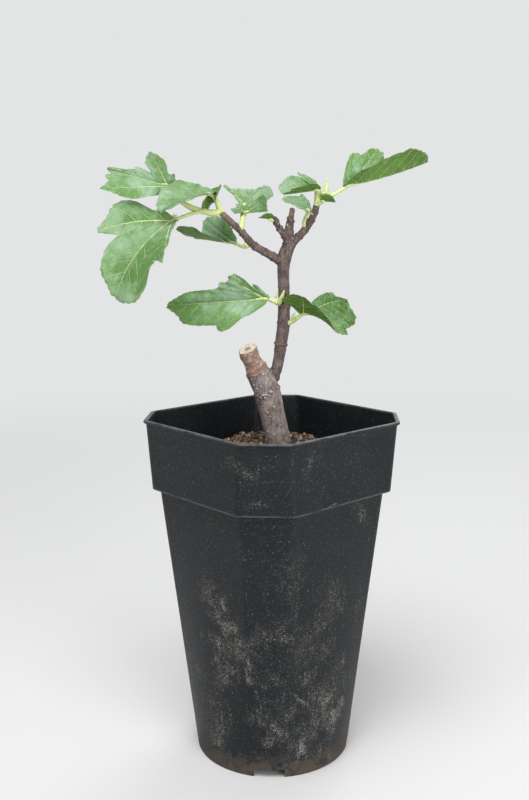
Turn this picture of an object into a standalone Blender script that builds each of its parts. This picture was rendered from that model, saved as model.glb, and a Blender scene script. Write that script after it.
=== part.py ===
"""A young fig tree grown from a cutting, in a tall nursery pot with a chamfered square rim.

Metres, +Z up. The origin is on the pot's axis at the level that it stands on. The pot's chamfered
corners face the X and Y axes, and the tree is seen from the front when looking along +Y.
"""

from collections import namedtuple

import bpy
import numpy as np

# Clear gap between neighbouring solids.
GAP = 0.0003

# The pot. Half sides are measured to the flat sides, corners to the chamfered corners.
POT_HEIGHT = 0.245
POT_WALL = 0.0012
LIP_HALF_SIDE, LIP_CORNER = 0.0750, 0.0887
LIP_HEIGHT, LIP_OVERHANG = 0.0024, 0.0018
COLLAR_HEIGHT = 0.049
COLLAR_FOOT_HALF_SIDE, COLLAR_FOOT_CORNER = 0.0719, 0.0829
BODY_STEP = 0.0050
FOOT_RADIUS = 0.0554
FOOT_RING_WIDTH = 0.0034
FOOT_EDGE = 0.0012
FLOOR_UNDERSIDE, FLOOR_TOP = 0.0040, 0.0054
BODY_LEVELS = (0.065, 0.130)
CORNER_SHARPNESS, ROUNDING_POWER = 70, 1.3
POT_SIDES = 64
NOTCH_WIDTH, NOTCH_HEIGHT = 0.0215, 0.0060
NOTCH_MIDDLE, NOTCH_LENGTH = 0.053, 0.018

# The soil: a mound round the trunk that falls away to the wall.
SOIL_TOP, SOIL_EDGE = 0.2260, 0.2060
MOUND_CENTRE = (-0.001, 0.005)
MOUND_FLAT, MOUND_REACH = 0.026, 0.062
MOUND_RINGS = (0.86, 0.70, 0.54, 0.38, 0.20)
TRUNK_FOOT = SOIL_TOP + GAP

# Sides of each kind of limb, and how a petiole ends inside its blade, a share of the leaf's length in.
TRUNK_SIDES, LIMB_SIDES, TWIG_SIDES = 14, 10, 6
PETIOLE_RADIUS = 0.0012
SUNK_RADIUS, SUNK_SHARE = 0.0007, 0.10

# The blades. Their normals are averaged this far to each side, which keeps a sharp fold clean.
LEAF_THICKNESS = 0.0009
NORMAL_REACH = 0.0012
OUTLINE_STEPS, LEAF_RINGS = 2, 3

# One leaf. base is the point where the petiole meets the blade; heading, rise and roll turn the midrib
# and the blade about it. The outline is a row of tips and notches seen from that point, each as its
# angle from the midrib, positive to the leaf's left, and its reach as a share of the length. fold and
# curl are (left, right): how far each half rises from the midrib, and how much further it bends on its
# way to the edge. All angles are in degrees.
Leaf = namedtuple("Leaf", "base heading rise roll length outline fold curl droop")


def clear_scene():
    for obj in list(bpy.data.objects):
        bpy.data.objects.remove(obj, do_unlink=True)


def finish_material(name, colour, roughness):
    """A Principled material of one colour."""
    material = bpy.data.materials.new(name)
    material.use_nodes = True
    shader = material.node_tree.nodes["Principled BSDF"]
    shader.inputs["Base Color"].default_value = (*colour, 1.0)
    shader.inputs["Roughness"].default_value = roughness
    return material


def mesh_object(name, points, faces, material=None):
    """An object at the origin from its points and faces, linked to the scene."""
    mesh = bpy.data.meshes.new(name)
    mesh.from_pydata([tuple(p) for p in points], [], faces)
    mesh.validate()
    if material:
        mesh.materials.append(material)
    obj = bpy.data.objects.new(name, mesh)
    bpy.context.scene.collection.objects.link(obj)
    return obj


def apply_boolean(obj, operation, others, solver="EXACT"):
    """Joins the others to obj, or cuts them from it, applies that and removes the others."""
    group = bpy.data.collections.new(obj.name + "_group")
    bpy.context.scene.collection.children.link(group)
    for other in others:
        group.objects.link(other)
    modifier = obj.modifiers.new("Boolean", "BOOLEAN")
    modifier.operation = operation
    modifier.operand_type = "COLLECTION"
    modifier.collection = group
    modifier.solver = solver
    with bpy.context.temp_override(object=obj, active_object=obj):
        bpy.ops.object.modifier_apply(modifier=modifier.name)
    for other in others:
        bpy.data.objects.remove(other, do_unlink=True)
    bpy.data.collections.remove(group)


def stacked_rings(out, back, bottom, top):
    """A closed body of equal rings from a bottom point to a top point, counterclockwise from above.

    The rings run out along one side and may come back along another. Each quad is split in two, the
    same way on both sides, so that a thin wall has the same thickness all over.
    """
    rings = [*out, *back]
    count = len(rings[0])
    points = [bottom] + [point for ring in rings for point in ring] + [top]
    faces = []
    for row in range(len(rings) - 1):
        low, high = 1 + row * count, 1 + (row + 1) * count
        for column in range(count):
            beside = (column + 1) % count
            a, b, c, d = low + column, low + beside, high + beside, high + column
            faces += [(a, b, c), (a, c, d)] if row < len(out) else [(a, b, d), (b, c, d)]
    last = 1 + (len(rings) - 1) * count
    for column in range(count):
        beside = (column + 1) % count
        faces.append((0, 1 + beside, 1 + column))
        faces.append((last + column, last + beside, len(points) - 1))
    return points, faces


# The pot


def chamfered_square(angles, half_side, corner):
    """Distance to the wall of a square with chamfered corners that face the axes.

    Each flat face lies at its own distance along its normal, and the wall is a high power mean
    of all eight, which rounds the edges a little.
    """
    total = np.zeros_like(angles)
    for quarter in range(4):
        facing_corner = np.maximum(np.cos(angles - quarter * np.pi / 2), 0)
        facing_side = np.maximum(np.cos(angles - quarter * np.pi / 2 - np.pi / 4), 0)
        total += (facing_corner / corner) ** CORNER_SHARPNESS
        total += (facing_side / half_side) ** CORNER_SHARPNESS
    return total ** (-1 / CORNER_SHARPNESS)


def ring_at(radii, height):
    """Points of one level ring."""
    angles = np.linspace(0, 2 * np.pi, POT_SIDES, endpoint=False)
    level = np.full(POT_SIDES, height)
    return np.stack([radii * np.cos(angles), radii * np.sin(angles), level], axis=1)


def collar_radii(height, inset=0.0):
    """The collar, which tapers a little from under the lip to its own foot."""
    foot = POT_HEIGHT - COLLAR_HEIGHT
    share = (height - foot) / (COLLAR_HEIGHT - LIP_HEIGHT)
    angles = np.linspace(0, 2 * np.pi, POT_SIDES, endpoint=False)
    half_side = COLLAR_FOOT_HALF_SIDE + share * (LIP_HALF_SIDE - LIP_OVERHANG - COLLAR_FOOT_HALF_SIDE)
    corner = COLLAR_FOOT_CORNER + share * (LIP_CORNER - LIP_OVERHANG - COLLAR_FOOT_CORNER)
    return chamfered_square(angles, half_side - inset, corner - inset)


def body_radii(height, inset=0.0):
    """The body below the collar: a straight taper that turns from the square to a round foot."""
    top = POT_HEIGHT - COLLAR_HEIGHT
    share = height / top
    angles = np.linspace(0, 2 * np.pi, POT_SIDES, endpoint=False)
    corner = FOOT_RADIUS + share * (COLLAR_FOOT_CORNER - BODY_STEP - FOOT_RADIUS)
    half_side = corner * (COLLAR_FOOT_HALF_SIDE - BODY_STEP) / (COLLAR_FOOT_CORNER - BODY_STEP)
    square = chamfered_square(angles, half_side, corner)
    roundness = max(0.0, 1 - share) ** ROUNDING_POWER
    return (1 - roundness) * square + roundness * corner - inset


def outer_rings():
    """Rings of the foot ring, up the outside of the body and collar and over the lip."""
    step = POT_HEIGHT - COLLAR_HEIGHT
    lip = POT_HEIGHT - LIP_HEIGHT
    floor_joint = np.full(POT_SIDES, FOOT_RADIUS - FOOT_RING_WIDTH)
    rings = [
        ring_at(floor_joint, FLOOR_UNDERSIDE),
        ring_at(floor_joint, 0.0),
        ring_at(body_radii(0.0, FOOT_EDGE), 0.0),
    ]
    for height in (FOOT_EDGE, *BODY_LEVELS, step):
        rings.append(ring_at(body_radii(height), height))
    rings.append(ring_at(collar_radii(step), step))
    rings.append(ring_at(collar_radii(lip), lip))
    rings.append(ring_at(collar_radii(lip, -LIP_OVERHANG), lip + LIP_HEIGHT * 0.25))
    rings.append(ring_at(collar_radii(lip, -LIP_OVERHANG), POT_HEIGHT - LIP_HEIGHT * 0.3))
    rings.append(ring_at(collar_radii(lip, -LIP_OVERHANG / 2), POT_HEIGHT))
    return rings


def inner_rings():
    """Rings down the inside, from the lip to the floor."""
    shelf = POT_HEIGHT - COLLAR_HEIGHT + POT_WALL
    rings = [
        ring_at(collar_radii(POT_HEIGHT - LIP_HEIGHT, POT_WALL), POT_HEIGHT),
        ring_at(collar_radii(shelf, POT_WALL), shelf),
    ]
    for height in (shelf, *reversed(BODY_LEVELS), FLOOR_TOP):
        rings.append(ring_at(body_radii(height, POT_WALL), height))
    return rings


def make_pot(material):
    points, faces = stacked_rings(outer_rings(), inner_rings(), (0, 0, FLOOR_UNDERSIDE), (0, 0, FLOOR_TOP))
    pot = mesh_object("pot", points, faces, material)
    cutters = []
    for quarter in range(4):
        angle = quarter * np.pi / 2
        place = (NOTCH_MIDDLE * np.cos(angle), NOTCH_MIDDLE * np.sin(angle), 0)
        bpy.ops.mesh.primitive_cube_add(size=1, location=place)
        cutter = bpy.context.object
        cutter.rotation_euler.z = angle
        cutter.scale = (NOTCH_LENGTH, NOTCH_WIDTH, 2 * NOTCH_HEIGHT)
        cutters.append(cutter)
    apply_boolean(pot, "DIFFERENCE", cutters)


# The soil


def soil_height(x, y):
    """Flat round the trunk, then a smooth fall to the level at the wall."""
    away = np.hypot(x - MOUND_CENTRE[0], y - MOUND_CENTRE[1])
    share = np.clip((away - MOUND_FLAT) / (MOUND_REACH - MOUND_FLAT), 0, 1)
    return SOIL_TOP + (SOIL_EDGE - SOIL_TOP) * share**2 * (3 - 2 * share)


def make_soil(material):
    """A solid that fills the pot: rings up its side, then rings inwards over the mound."""
    shelf = POT_HEIGHT - COLLAR_HEIGHT + POT_WALL + GAP
    clear = POT_WALL + GAP
    rings = []
    for height in (FLOOR_TOP + GAP, *BODY_LEVELS):
        rings.append(ring_at(body_radii(height, clear), height))
    rings.append(ring_at(body_radii(shelf, clear), shelf))
    rings.append(ring_at(collar_radii(shelf, clear), shelf))
    rings.append(ring_at(collar_radii(SOIL_EDGE, clear), SOIL_EDGE))
    edge = collar_radii(SOIL_EDGE, clear)
    for share in MOUND_RINGS:
        ring = ring_at(edge * share, 0.0)
        ring[:, 2] = soil_height(ring[:, 0], ring[:, 1])
        rings.append(ring)
    points, faces = stacked_rings(rings, [], (0, 0, FLOOR_TOP + GAP), (0, 0, SOIL_TOP))
    mesh_object("soil", points, faces, material)


# Limbs


def smooth_route(stations, between):
    """Points on a Catmull-Rom curve through the stations, which are rows of x, y, z and radius."""
    rows = np.array(stations, float)
    padded = np.vstack([2 * rows[0] - rows[1], rows, 2 * rows[-1] - rows[-2]])
    route = []
    for i in range(1, len(padded) - 2):
        before, start, end, after = padded[i - 1 : i + 3]
        for t in np.linspace(0, 1, between, endpoint=False):
            route.append(
                start
                + 0.5 * t * (end - before)
                + t**2 * (before - 2.5 * start + 2 * end - 0.5 * after)
                + t**3 * (1.5 * (start - end) + 0.5 * (after - before))
            )
    route.append(rows[-1])
    return np.array(route)


def limb_points(route, sides, extra=0.0):
    """Rings square to the route, turned as little as possible from one to the next."""
    centres, radii = route[:, :3], route[:, 3] + extra
    tangents = np.gradient(centres, axis=0)
    tangents /= np.linalg.norm(tangents, axis=1)[:, None]
    across = np.cross(tangents[0], (0, 1, 0))
    turn = np.linspace(0, 2 * np.pi, sides, endpoint=False)[:, None]
    rings = []
    for centre, radius, tangent in zip(centres, radii, tangents):
        across = across - tangent * across.dot(tangent)
        across /= np.linalg.norm(across)
        beside = np.cross(tangent, across)
        rings.append(centre + radius * (np.cos(turn) * across + np.sin(turn) * beside))
    return rings


def limb(name, stations, material=None, sides=LIMB_SIDES, between=2, extra=0.0):
    """One tapering limb with closed ends. extra makes it that much thicker and longer."""
    route = smooth_route(stations, between)
    for end, beside in ((0, 1), (-1, -2)):
        outward = route[end, :3] - route[beside, :3]
        route[end, :3] += extra * outward / np.linalg.norm(outward)
    rings = limb_points(route, sides, extra)
    points, faces = stacked_rings(rings, [], tuple(route[0, :3]), tuple(route[-1, :3]))
    return mesh_object(name, points, faces, material)


def flat_foot(trunk, height):
    """Cuts the trunk off level at the soil."""
    size = 0.1
    bpy.ops.mesh.primitive_cube_add(size=size, location=(0, 0, height - size / 2))
    cutter = bpy.context.object
    apply_boolean(trunk, "DIFFERENCE", [cutter])


# Leaves


def leaf_outline(leaf):
    """Flat points of the blade's edge, on a closed Catmull-Rom curve through its tips and notches."""
    angles, reaches = np.array(leaf.outline).T
    turned = np.radians(angles)
    start = leaf.length * reaches[:, None] * np.stack([np.cos(turned), np.sin(turned)], axis=1)
    before, end, after = np.roll(start, 1, 0), np.roll(start, -1, 0), np.roll(start, -2, 0)
    steps = []
    for t in np.linspace(0, 1, OUTLINE_STEPS, endpoint=False):
        steps.append(
            start
            + 0.5 * t * (end - before)
            + t**2 * (before - 2.5 * start + 2 * end - 0.5 * after)
            + t**3 * (1.5 * (start - end) + 0.5 * (after - before))
        )
    return np.stack(steps, axis=1).reshape(-1, 2)


def bent_blade(x, y, leaf):
    """Lays flat points of the blade in their true place.

    Each half turns up about the midrib by its fold and curls on with distance from it, the midrib
    droops along a circle, and the whole is turned to its heading, rise and roll.
    """
    left = y >= 0
    fold = np.radians(np.where(left, leaf.fold[0], leaf.fold[1]))
    curl = np.radians(np.where(left, leaf.curl[0], leaf.curl[1]) + 0.01) / (0.5 * leaf.length)
    away = np.abs(y)
    across = np.sign(y) * (np.sin(fold + curl * away) - np.sin(fold)) / curl
    above = (np.cos(fold) - np.cos(fold + curl * away)) / curl
    bend = np.radians(leaf.droop + 0.01) / leaf.length
    along = np.sin(bend * x) / bend + above * np.sin(bend * x)
    up = -(1 - np.cos(bend * x)) / bend + above * np.cos(bend * x)
    heading, rise, roll = np.radians([leaf.heading, leaf.rise, leaf.roll])
    forward = np.array(
        [np.cos(rise) * np.cos(heading), np.cos(rise) * np.sin(heading), np.sin(rise)]
    )
    level_left = np.array([-np.sin(heading), np.cos(heading), 0.0])
    level_up = np.cross(forward, level_left)
    leftward = np.cos(roll) * level_left + np.sin(roll) * level_up
    upward = np.cross(forward, leftward)
    return (
        np.array(leaf.base)
        + along[..., None] * forward
        + across[..., None] * leftward
        + up[..., None] * upward
    )


def leaf_blade(leaf):
    """A thin closed blade: rings from the petiole out to the outline, above and below."""
    shares = np.linspace(0, 1, LEAF_RINGS + 1)[1:, None]
    x, y = [shares * edge for edge in leaf_outline(leaf).T]
    middle = bent_blade(x, y, leaf)
    ahead = bent_blade(x + NORMAL_REACH, y, leaf) - bent_blade(x - NORMAL_REACH, y, leaf)
    aside = bent_blade(x, y + NORMAL_REACH, leaf) - bent_blade(x, y - NORMAL_REACH, leaf)
    normal = np.cross(ahead, aside)
    normal /= np.linalg.norm(normal, axis=-1, keepdims=True)
    half = normal * LEAF_THICKNESS / 2
    centre = bent_blade(np.zeros(1), np.zeros(1), leaf)[0]
    below = list(middle - half)
    above = list(middle + half)
    lift = normal[0].mean(axis=0) * LEAF_THICKNESS / 2
    points, faces = stacked_rings(below, above[::-1], tuple(centre - lift), tuple(centre + lift))
    return mesh_object("blade", points, faces)


def midrib_point(leaf, share):
    """A point on the midrib, as a share of the leaf's length."""
    return tuple(bent_blade(np.array([share * leaf.length]), np.zeros(1), leaf)[0])


# Wood. Stations are rows of x, y, z and radius.
TRUNK = (
    (0.0066, 0.0005, 0.2190, 0.0084),
    (0.0052, 0.0000, 0.2260, 0.0083),
    (0.0009, -0.0010, 0.2447, 0.0086),
    (-0.0033, -0.0030, 0.2636, 0.0091),
    (-0.0086, -0.0050, 0.2755, 0.0083),
    (-0.0130, -0.0080, 0.2855, 0.0069),
    (-0.0161, -0.0115, 0.2943, 0.0062),
)
MAIN_STEM = (
    (-0.0027, 0.0000, 0.2686, 0.0042),
    (0.0024, 0.0015, 0.2763, 0.0038),
    (0.0050, 0.0025, 0.2861, 0.0038),
    (0.0063, 0.0025, 0.2959, 0.0042),
    (0.0082, 0.0010, 0.3100, 0.0043),
    (0.0086, 0.0000, 0.3300, 0.0039),
    (0.0082, 0.0000, 0.3470, 0.0041),
    (0.0093, 0.0000, 0.3570, 0.0047),
    (0.0120, 0.0000, 0.3650, 0.0042),
    (0.0120, 0.0000, 0.3740, 0.0032),
    (0.0134, 0.0000, 0.3830, 0.0021),
    (0.0142, 0.0000, 0.3880, 0.0014),
)
LEFT_BOUGH = (
    (0.0080, 0.0000, 0.3525, 0.0031),
    (0.0035, -0.0010, 0.3553, 0.0029),
    (-0.0049, -0.0030, 0.3601, 0.0027),
    (-0.0125, -0.0050, 0.3650, 0.0026),
    (-0.0200, -0.0060, 0.3735, 0.0023),
    (-0.0266, -0.0060, 0.3796, 0.0022),
    (-0.0330, -0.0052, 0.3856, 0.0020),
)
RIGHT_BOUGH = (
    (0.0130, 0.0000, 0.3650, 0.0028),
    (0.0165, 0.0020, 0.3681, 0.0027),
    (0.0217, 0.0050, 0.3731, 0.0026),
    (0.0260, 0.0070, 0.3792, 0.0025),
    (0.0294, 0.0080, 0.3862, 0.0024),
    (0.0306, 0.0080, 0.3905, 0.0022),
)
SHORT_SPUR = (
    (0.0115, -0.0015, 0.3665, 0.0024),
    (0.0085, -0.0040, 0.3718, 0.0023),
    (0.0048, -0.0060, 0.3772, 0.0020),
    (0.0028, -0.0070, 0.3818, 0.0020),
)


# Leaves, named by where they grow.
ROUND_OUTLINE = (
    (0, 1.00), (30, 0.85), (60, 0.62), (100, 0.42), (150, 0.20), (180, 0.14),
    (-150, 0.20), (-100, 0.42), (-60, 0.62), (-30, 0.85),
)
SLENDER_OUTLINE = (
    (0, 1.00), (10, 0.70), (28, 0.38), (80, 0.16), (180, 0.08), (-80, 0.16), (-28, 0.38), (-10, 0.70),
)
LEAF_FRONT_LEFT = Leaf(
    base=(-0.0662, -0.0120, 0.3808),
    heading=232, rise=-21, roll=-7, length=0.0689,
    outline=(
        (0, 1.04), (12, 1.10), (22, 1.09), (28, 0.94), (30, 0.74), (38, 0.84), (39, 0.64), (44, 0.35),
        (80, 0.11), (180, 0.05), (-110, 0.10), (-73, 0.24), (-66, 0.44), (-56, 0.57), (-45, 0.62),
        (-36, 0.72), (-27, 0.57), (-22, 0.72), (-14, 0.88), (-6, 0.96),
    ),
    fold=(10, 36), curl=(9, 19), droop=45,
)
LEAF_BACK_LEFT = Leaf(
    base=(-0.0693, -0.0060, 0.4040),
    heading=200, rise=16, roll=-75, length=0.0436,
    outline=(
        (0, 0.97), (3, 0.90), (7, 0.98), (13, 0.93), (21, 1.06), (30, 0.84), (38, 0.68), (46, 0.46),
        (60, 0.22), (100, 0.09), (180, 0.06), (-128, 0.14), (-100, 0.21), (-76, 0.19), (-66, 0.39),
        (-47, 0.58), (-29, 0.49), (-22, 0.33), (-17, 0.54), (-9, 0.62), (-5, 0.74), (-3, 0.92),
    ),
    fold=(17, 20), curl=(5, 14), droop=8,
)
LEAF_TIP_LEFT = Leaf(
    base=(-0.0419, -0.0040, 0.3987),
    heading=221, rise=-6, roll=-32, length=0.0391,
    outline=(
        (0, 0.97), (8, 0.87), (18, 0.74), (30, 0.62), (48, 0.46), (66, 0.34), (110, 0.18), (180, 0.12),
        (-110, 0.15), (-69, 0.22), (-53, 0.38), (-45, 0.56), (-35, 0.68), (-27, 0.83), (-17, 0.89),
        (-8, 0.98),
    ),
    fold=(38, 18), curl=(1, 10), droop=32,
)
LEAF_TIP_DARK = Leaf(
    base=(-0.0375, -0.0030, 0.3945),
    heading=75, rise=50, roll=-30, length=0.0130,
    outline=ROUND_OUTLINE,
    fold=(35, 35), curl=(10, 10), droop=10,
)
LEAF_TIP_UNDER = Leaf(
    base=(-0.0395, 0.0020, 0.3955),
    heading=190, rise=-48, roll=30, length=0.0125,
    outline=ROUND_OUTLINE,
    fold=(15, 15), curl=(5, 5), droop=20,
)
LEAF_LOW_LEFT = Leaf(
    base=(-0.0259, 0.0040, 0.3657),
    heading=137, rise=5, roll=-51, length=0.0416,
    outline=(
        (0, 0.82), (9, 0.86), (18, 0.94), (27, 1.07), (34, 1.02), (46, 0.82), (60, 0.60), (74, 0.38),
        (104, 0.24), (180, 0.08), (-110, 0.10), (-66, 0.27), (-53, 0.42), (-43, 0.58), (-32, 0.75),
        (-21, 0.89), (-10, 0.86),
    ),
    fold=(46, 41), curl=(48, -33), droop=1,
)
LEAF_UPRIGHT = Leaf(
    base=(-0.0188, 0.0040, 0.3913),
    heading=70, rise=20, roll=35, length=0.0307,
    outline=(
        (0, 0.92), (6, 0.74), (16, 0.62), (30, 0.56), (50, 0.50), (66, 0.54), (75, 0.69), (83, 0.48),
        (95, 0.24), (134, 0.14), (180, 0.12), (-130, 0.16), (-76, 0.34), (-62, 0.56), (-45, 0.72),
        (-27, 0.84), (-9, 0.99),
    ),
    fold=(14, 37), curl=(-17, 3), droop=-19,
)
LEAF_UPRIGHT_FRONT = Leaf(
    base=(-0.0170, -0.0020, 0.3862),
    heading=350, rise=2, roll=89, length=0.0184,
    outline=(
        (0, 0.86), (8, 0.89), (20, 0.90), (32, 1.00), (43, 0.91), (50, 0.55), (58, 0.30), (80, 0.25),
        (109, 0.30), (136, 0.49), (150, 0.42), (164, 0.58), (180, 0.46), (-151, 0.40), (-110, 0.22),
        (-60, 0.24), (-29, 0.43), (-12, 0.72),
    ),
    fold=(-12, 85), curl=(21, 18), droop=-30,
)
LEAF_SPUR = Leaf(
    base=(-0.0003, -0.0085, 0.3815),
    heading=215, rise=15, roll=20, length=0.0090,
    outline=ROUND_OUTLINE,
    fold=(25, 25), curl=(10, 10), droop=20,
)
LEAF_STEM_LEFT = Leaf(
    base=(-0.0042, -0.0060, 0.3283),
    heading=165, rise=-6, roll=-76, length=0.0653,
    outline=(
        (0, 1.09), (7, 0.98), (14, 0.92), (19, 0.77), (22, 0.67), (27, 0.60), (34, 0.59), (38, 0.48),
        (41, 0.30), (54, 0.15), (100, 0.06), (180, 0.05), (-100, 0.07), (-70, 0.18), (-61, 0.20),
        (-54, 0.19), (-53, 0.33), (-46, 0.42), (-38, 0.45), (-31, 0.44), (-24, 0.52), (-18, 0.53),
        (-12, 0.72), (-7, 0.92),
    ),
    fold=(13, 35), curl=(-7, -2), droop=-10,
)
LEAF_STEM_RIGHT = Leaf(
    base=(0.0223, -0.0060, 0.3178),
    heading=328, rise=2, roll=-1, length=0.0337,
    outline=(
        (0, 0.86), (6, 0.94), (11, 1.01), (16, 0.93), (24, 0.99), (34, 0.99), (43, 0.88), (48, 0.89),
        (55, 0.73), (63, 0.68), (73, 0.46), (84, 0.28), (120, 0.13), (180, 0.10), (-140, 0.18),
        (-128, 0.40), (-113, 0.54), (-92, 0.60), (-74, 0.66), (-53, 0.47), (-28, 0.50), (-12, 0.66),
    ),
    fold=(29, 63), curl=(57, -33), droop=60,
)
LEAF_TIP_RIGHT = Leaf(
    base=(0.0524, 0.0120, 0.4041),
    heading=20, rise=10, roll=-21, length=0.0653,
    outline=(
        (0, 0.97), (5, 0.92), (10, 0.82), (15, 0.66), (19, 0.54), (27, 0.61), (34, 0.62), (40, 0.57),
        (47, 0.46), (57, 0.44), (66, 0.38), (76, 0.24), (110, 0.09), (180, 0.06), (-110, 0.07),
        (-62, 0.15), (-46, 0.29), (-32, 0.46), (-28, 0.58), (-25, 0.69), (-18, 0.81), (-11, 0.90),
        (-5, 0.96),
    ),
    fold=(80, 27), curl=(-2, 1), droop=-13,
)
LEAF_TIP_FOLDED = Leaf(
    base=(0.0310, 0.0040, 0.4011),
    heading=193, rise=-9, roll=-24, length=0.0245,
    outline=(
        (0, 0.98), (10, 0.80), (23, 0.60), (45, 0.42), (73, 0.31), (120, 0.16), (180, 0.10),
        (-120, 0.18), (-90, 0.27), (-68, 0.38), (-57, 0.60), (-43, 0.86), (-32, 0.96), (-16, 1.07),
    ),
    fold=(63, 11), curl=(5, 41), droop=-4,
)
LEAF_TIP_SLENDER = Leaf(
    base=(0.0300, 0.0080, 0.4040),
    heading=165, rise=32, roll=-50, length=0.0160,
    outline=SLENDER_OUTLINE,
    fold=(30, 30), curl=(10, 10), droop=-10,
)
LEAF_TIP_SMALL = Leaf(
    base=(0.0350, 0.0050, 0.3935),
    heading=-25, rise=2, roll=-35, length=0.0100,
    outline=ROUND_OUTLINE,
    fold=(30, 30), curl=(10, 10), droop=15,
)
LEAF_LOW_RIGHT = Leaf(
    base=(0.0253, -0.0040, 0.3874),
    heading=231, rise=18, roll=-90, length=0.0244,
    outline=(
        (0, 1.00), (7, 0.92), (16, 0.64), (30, 0.50), (46, 0.52), (62, 0.38), (100, 0.20), (180, 0.12),
        (-106, 0.15), (-60, 0.30), (-38, 0.56), (-28, 0.54), (-10, 0.85),
    ),
    fold=(55, 7), curl=(21, 1), droop=20,
)



def petiole(leaf, *stations):
    """A petiole that runs through its stations and on along the midrib, sunk in the blade."""
    joint = (*midrib_point(leaf, 0.0), PETIOLE_RADIUS)
    sunk_end = (*midrib_point(leaf, SUNK_SHARE), SUNK_RADIUS)
    return [*stations, joint, sunk_end]


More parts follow.
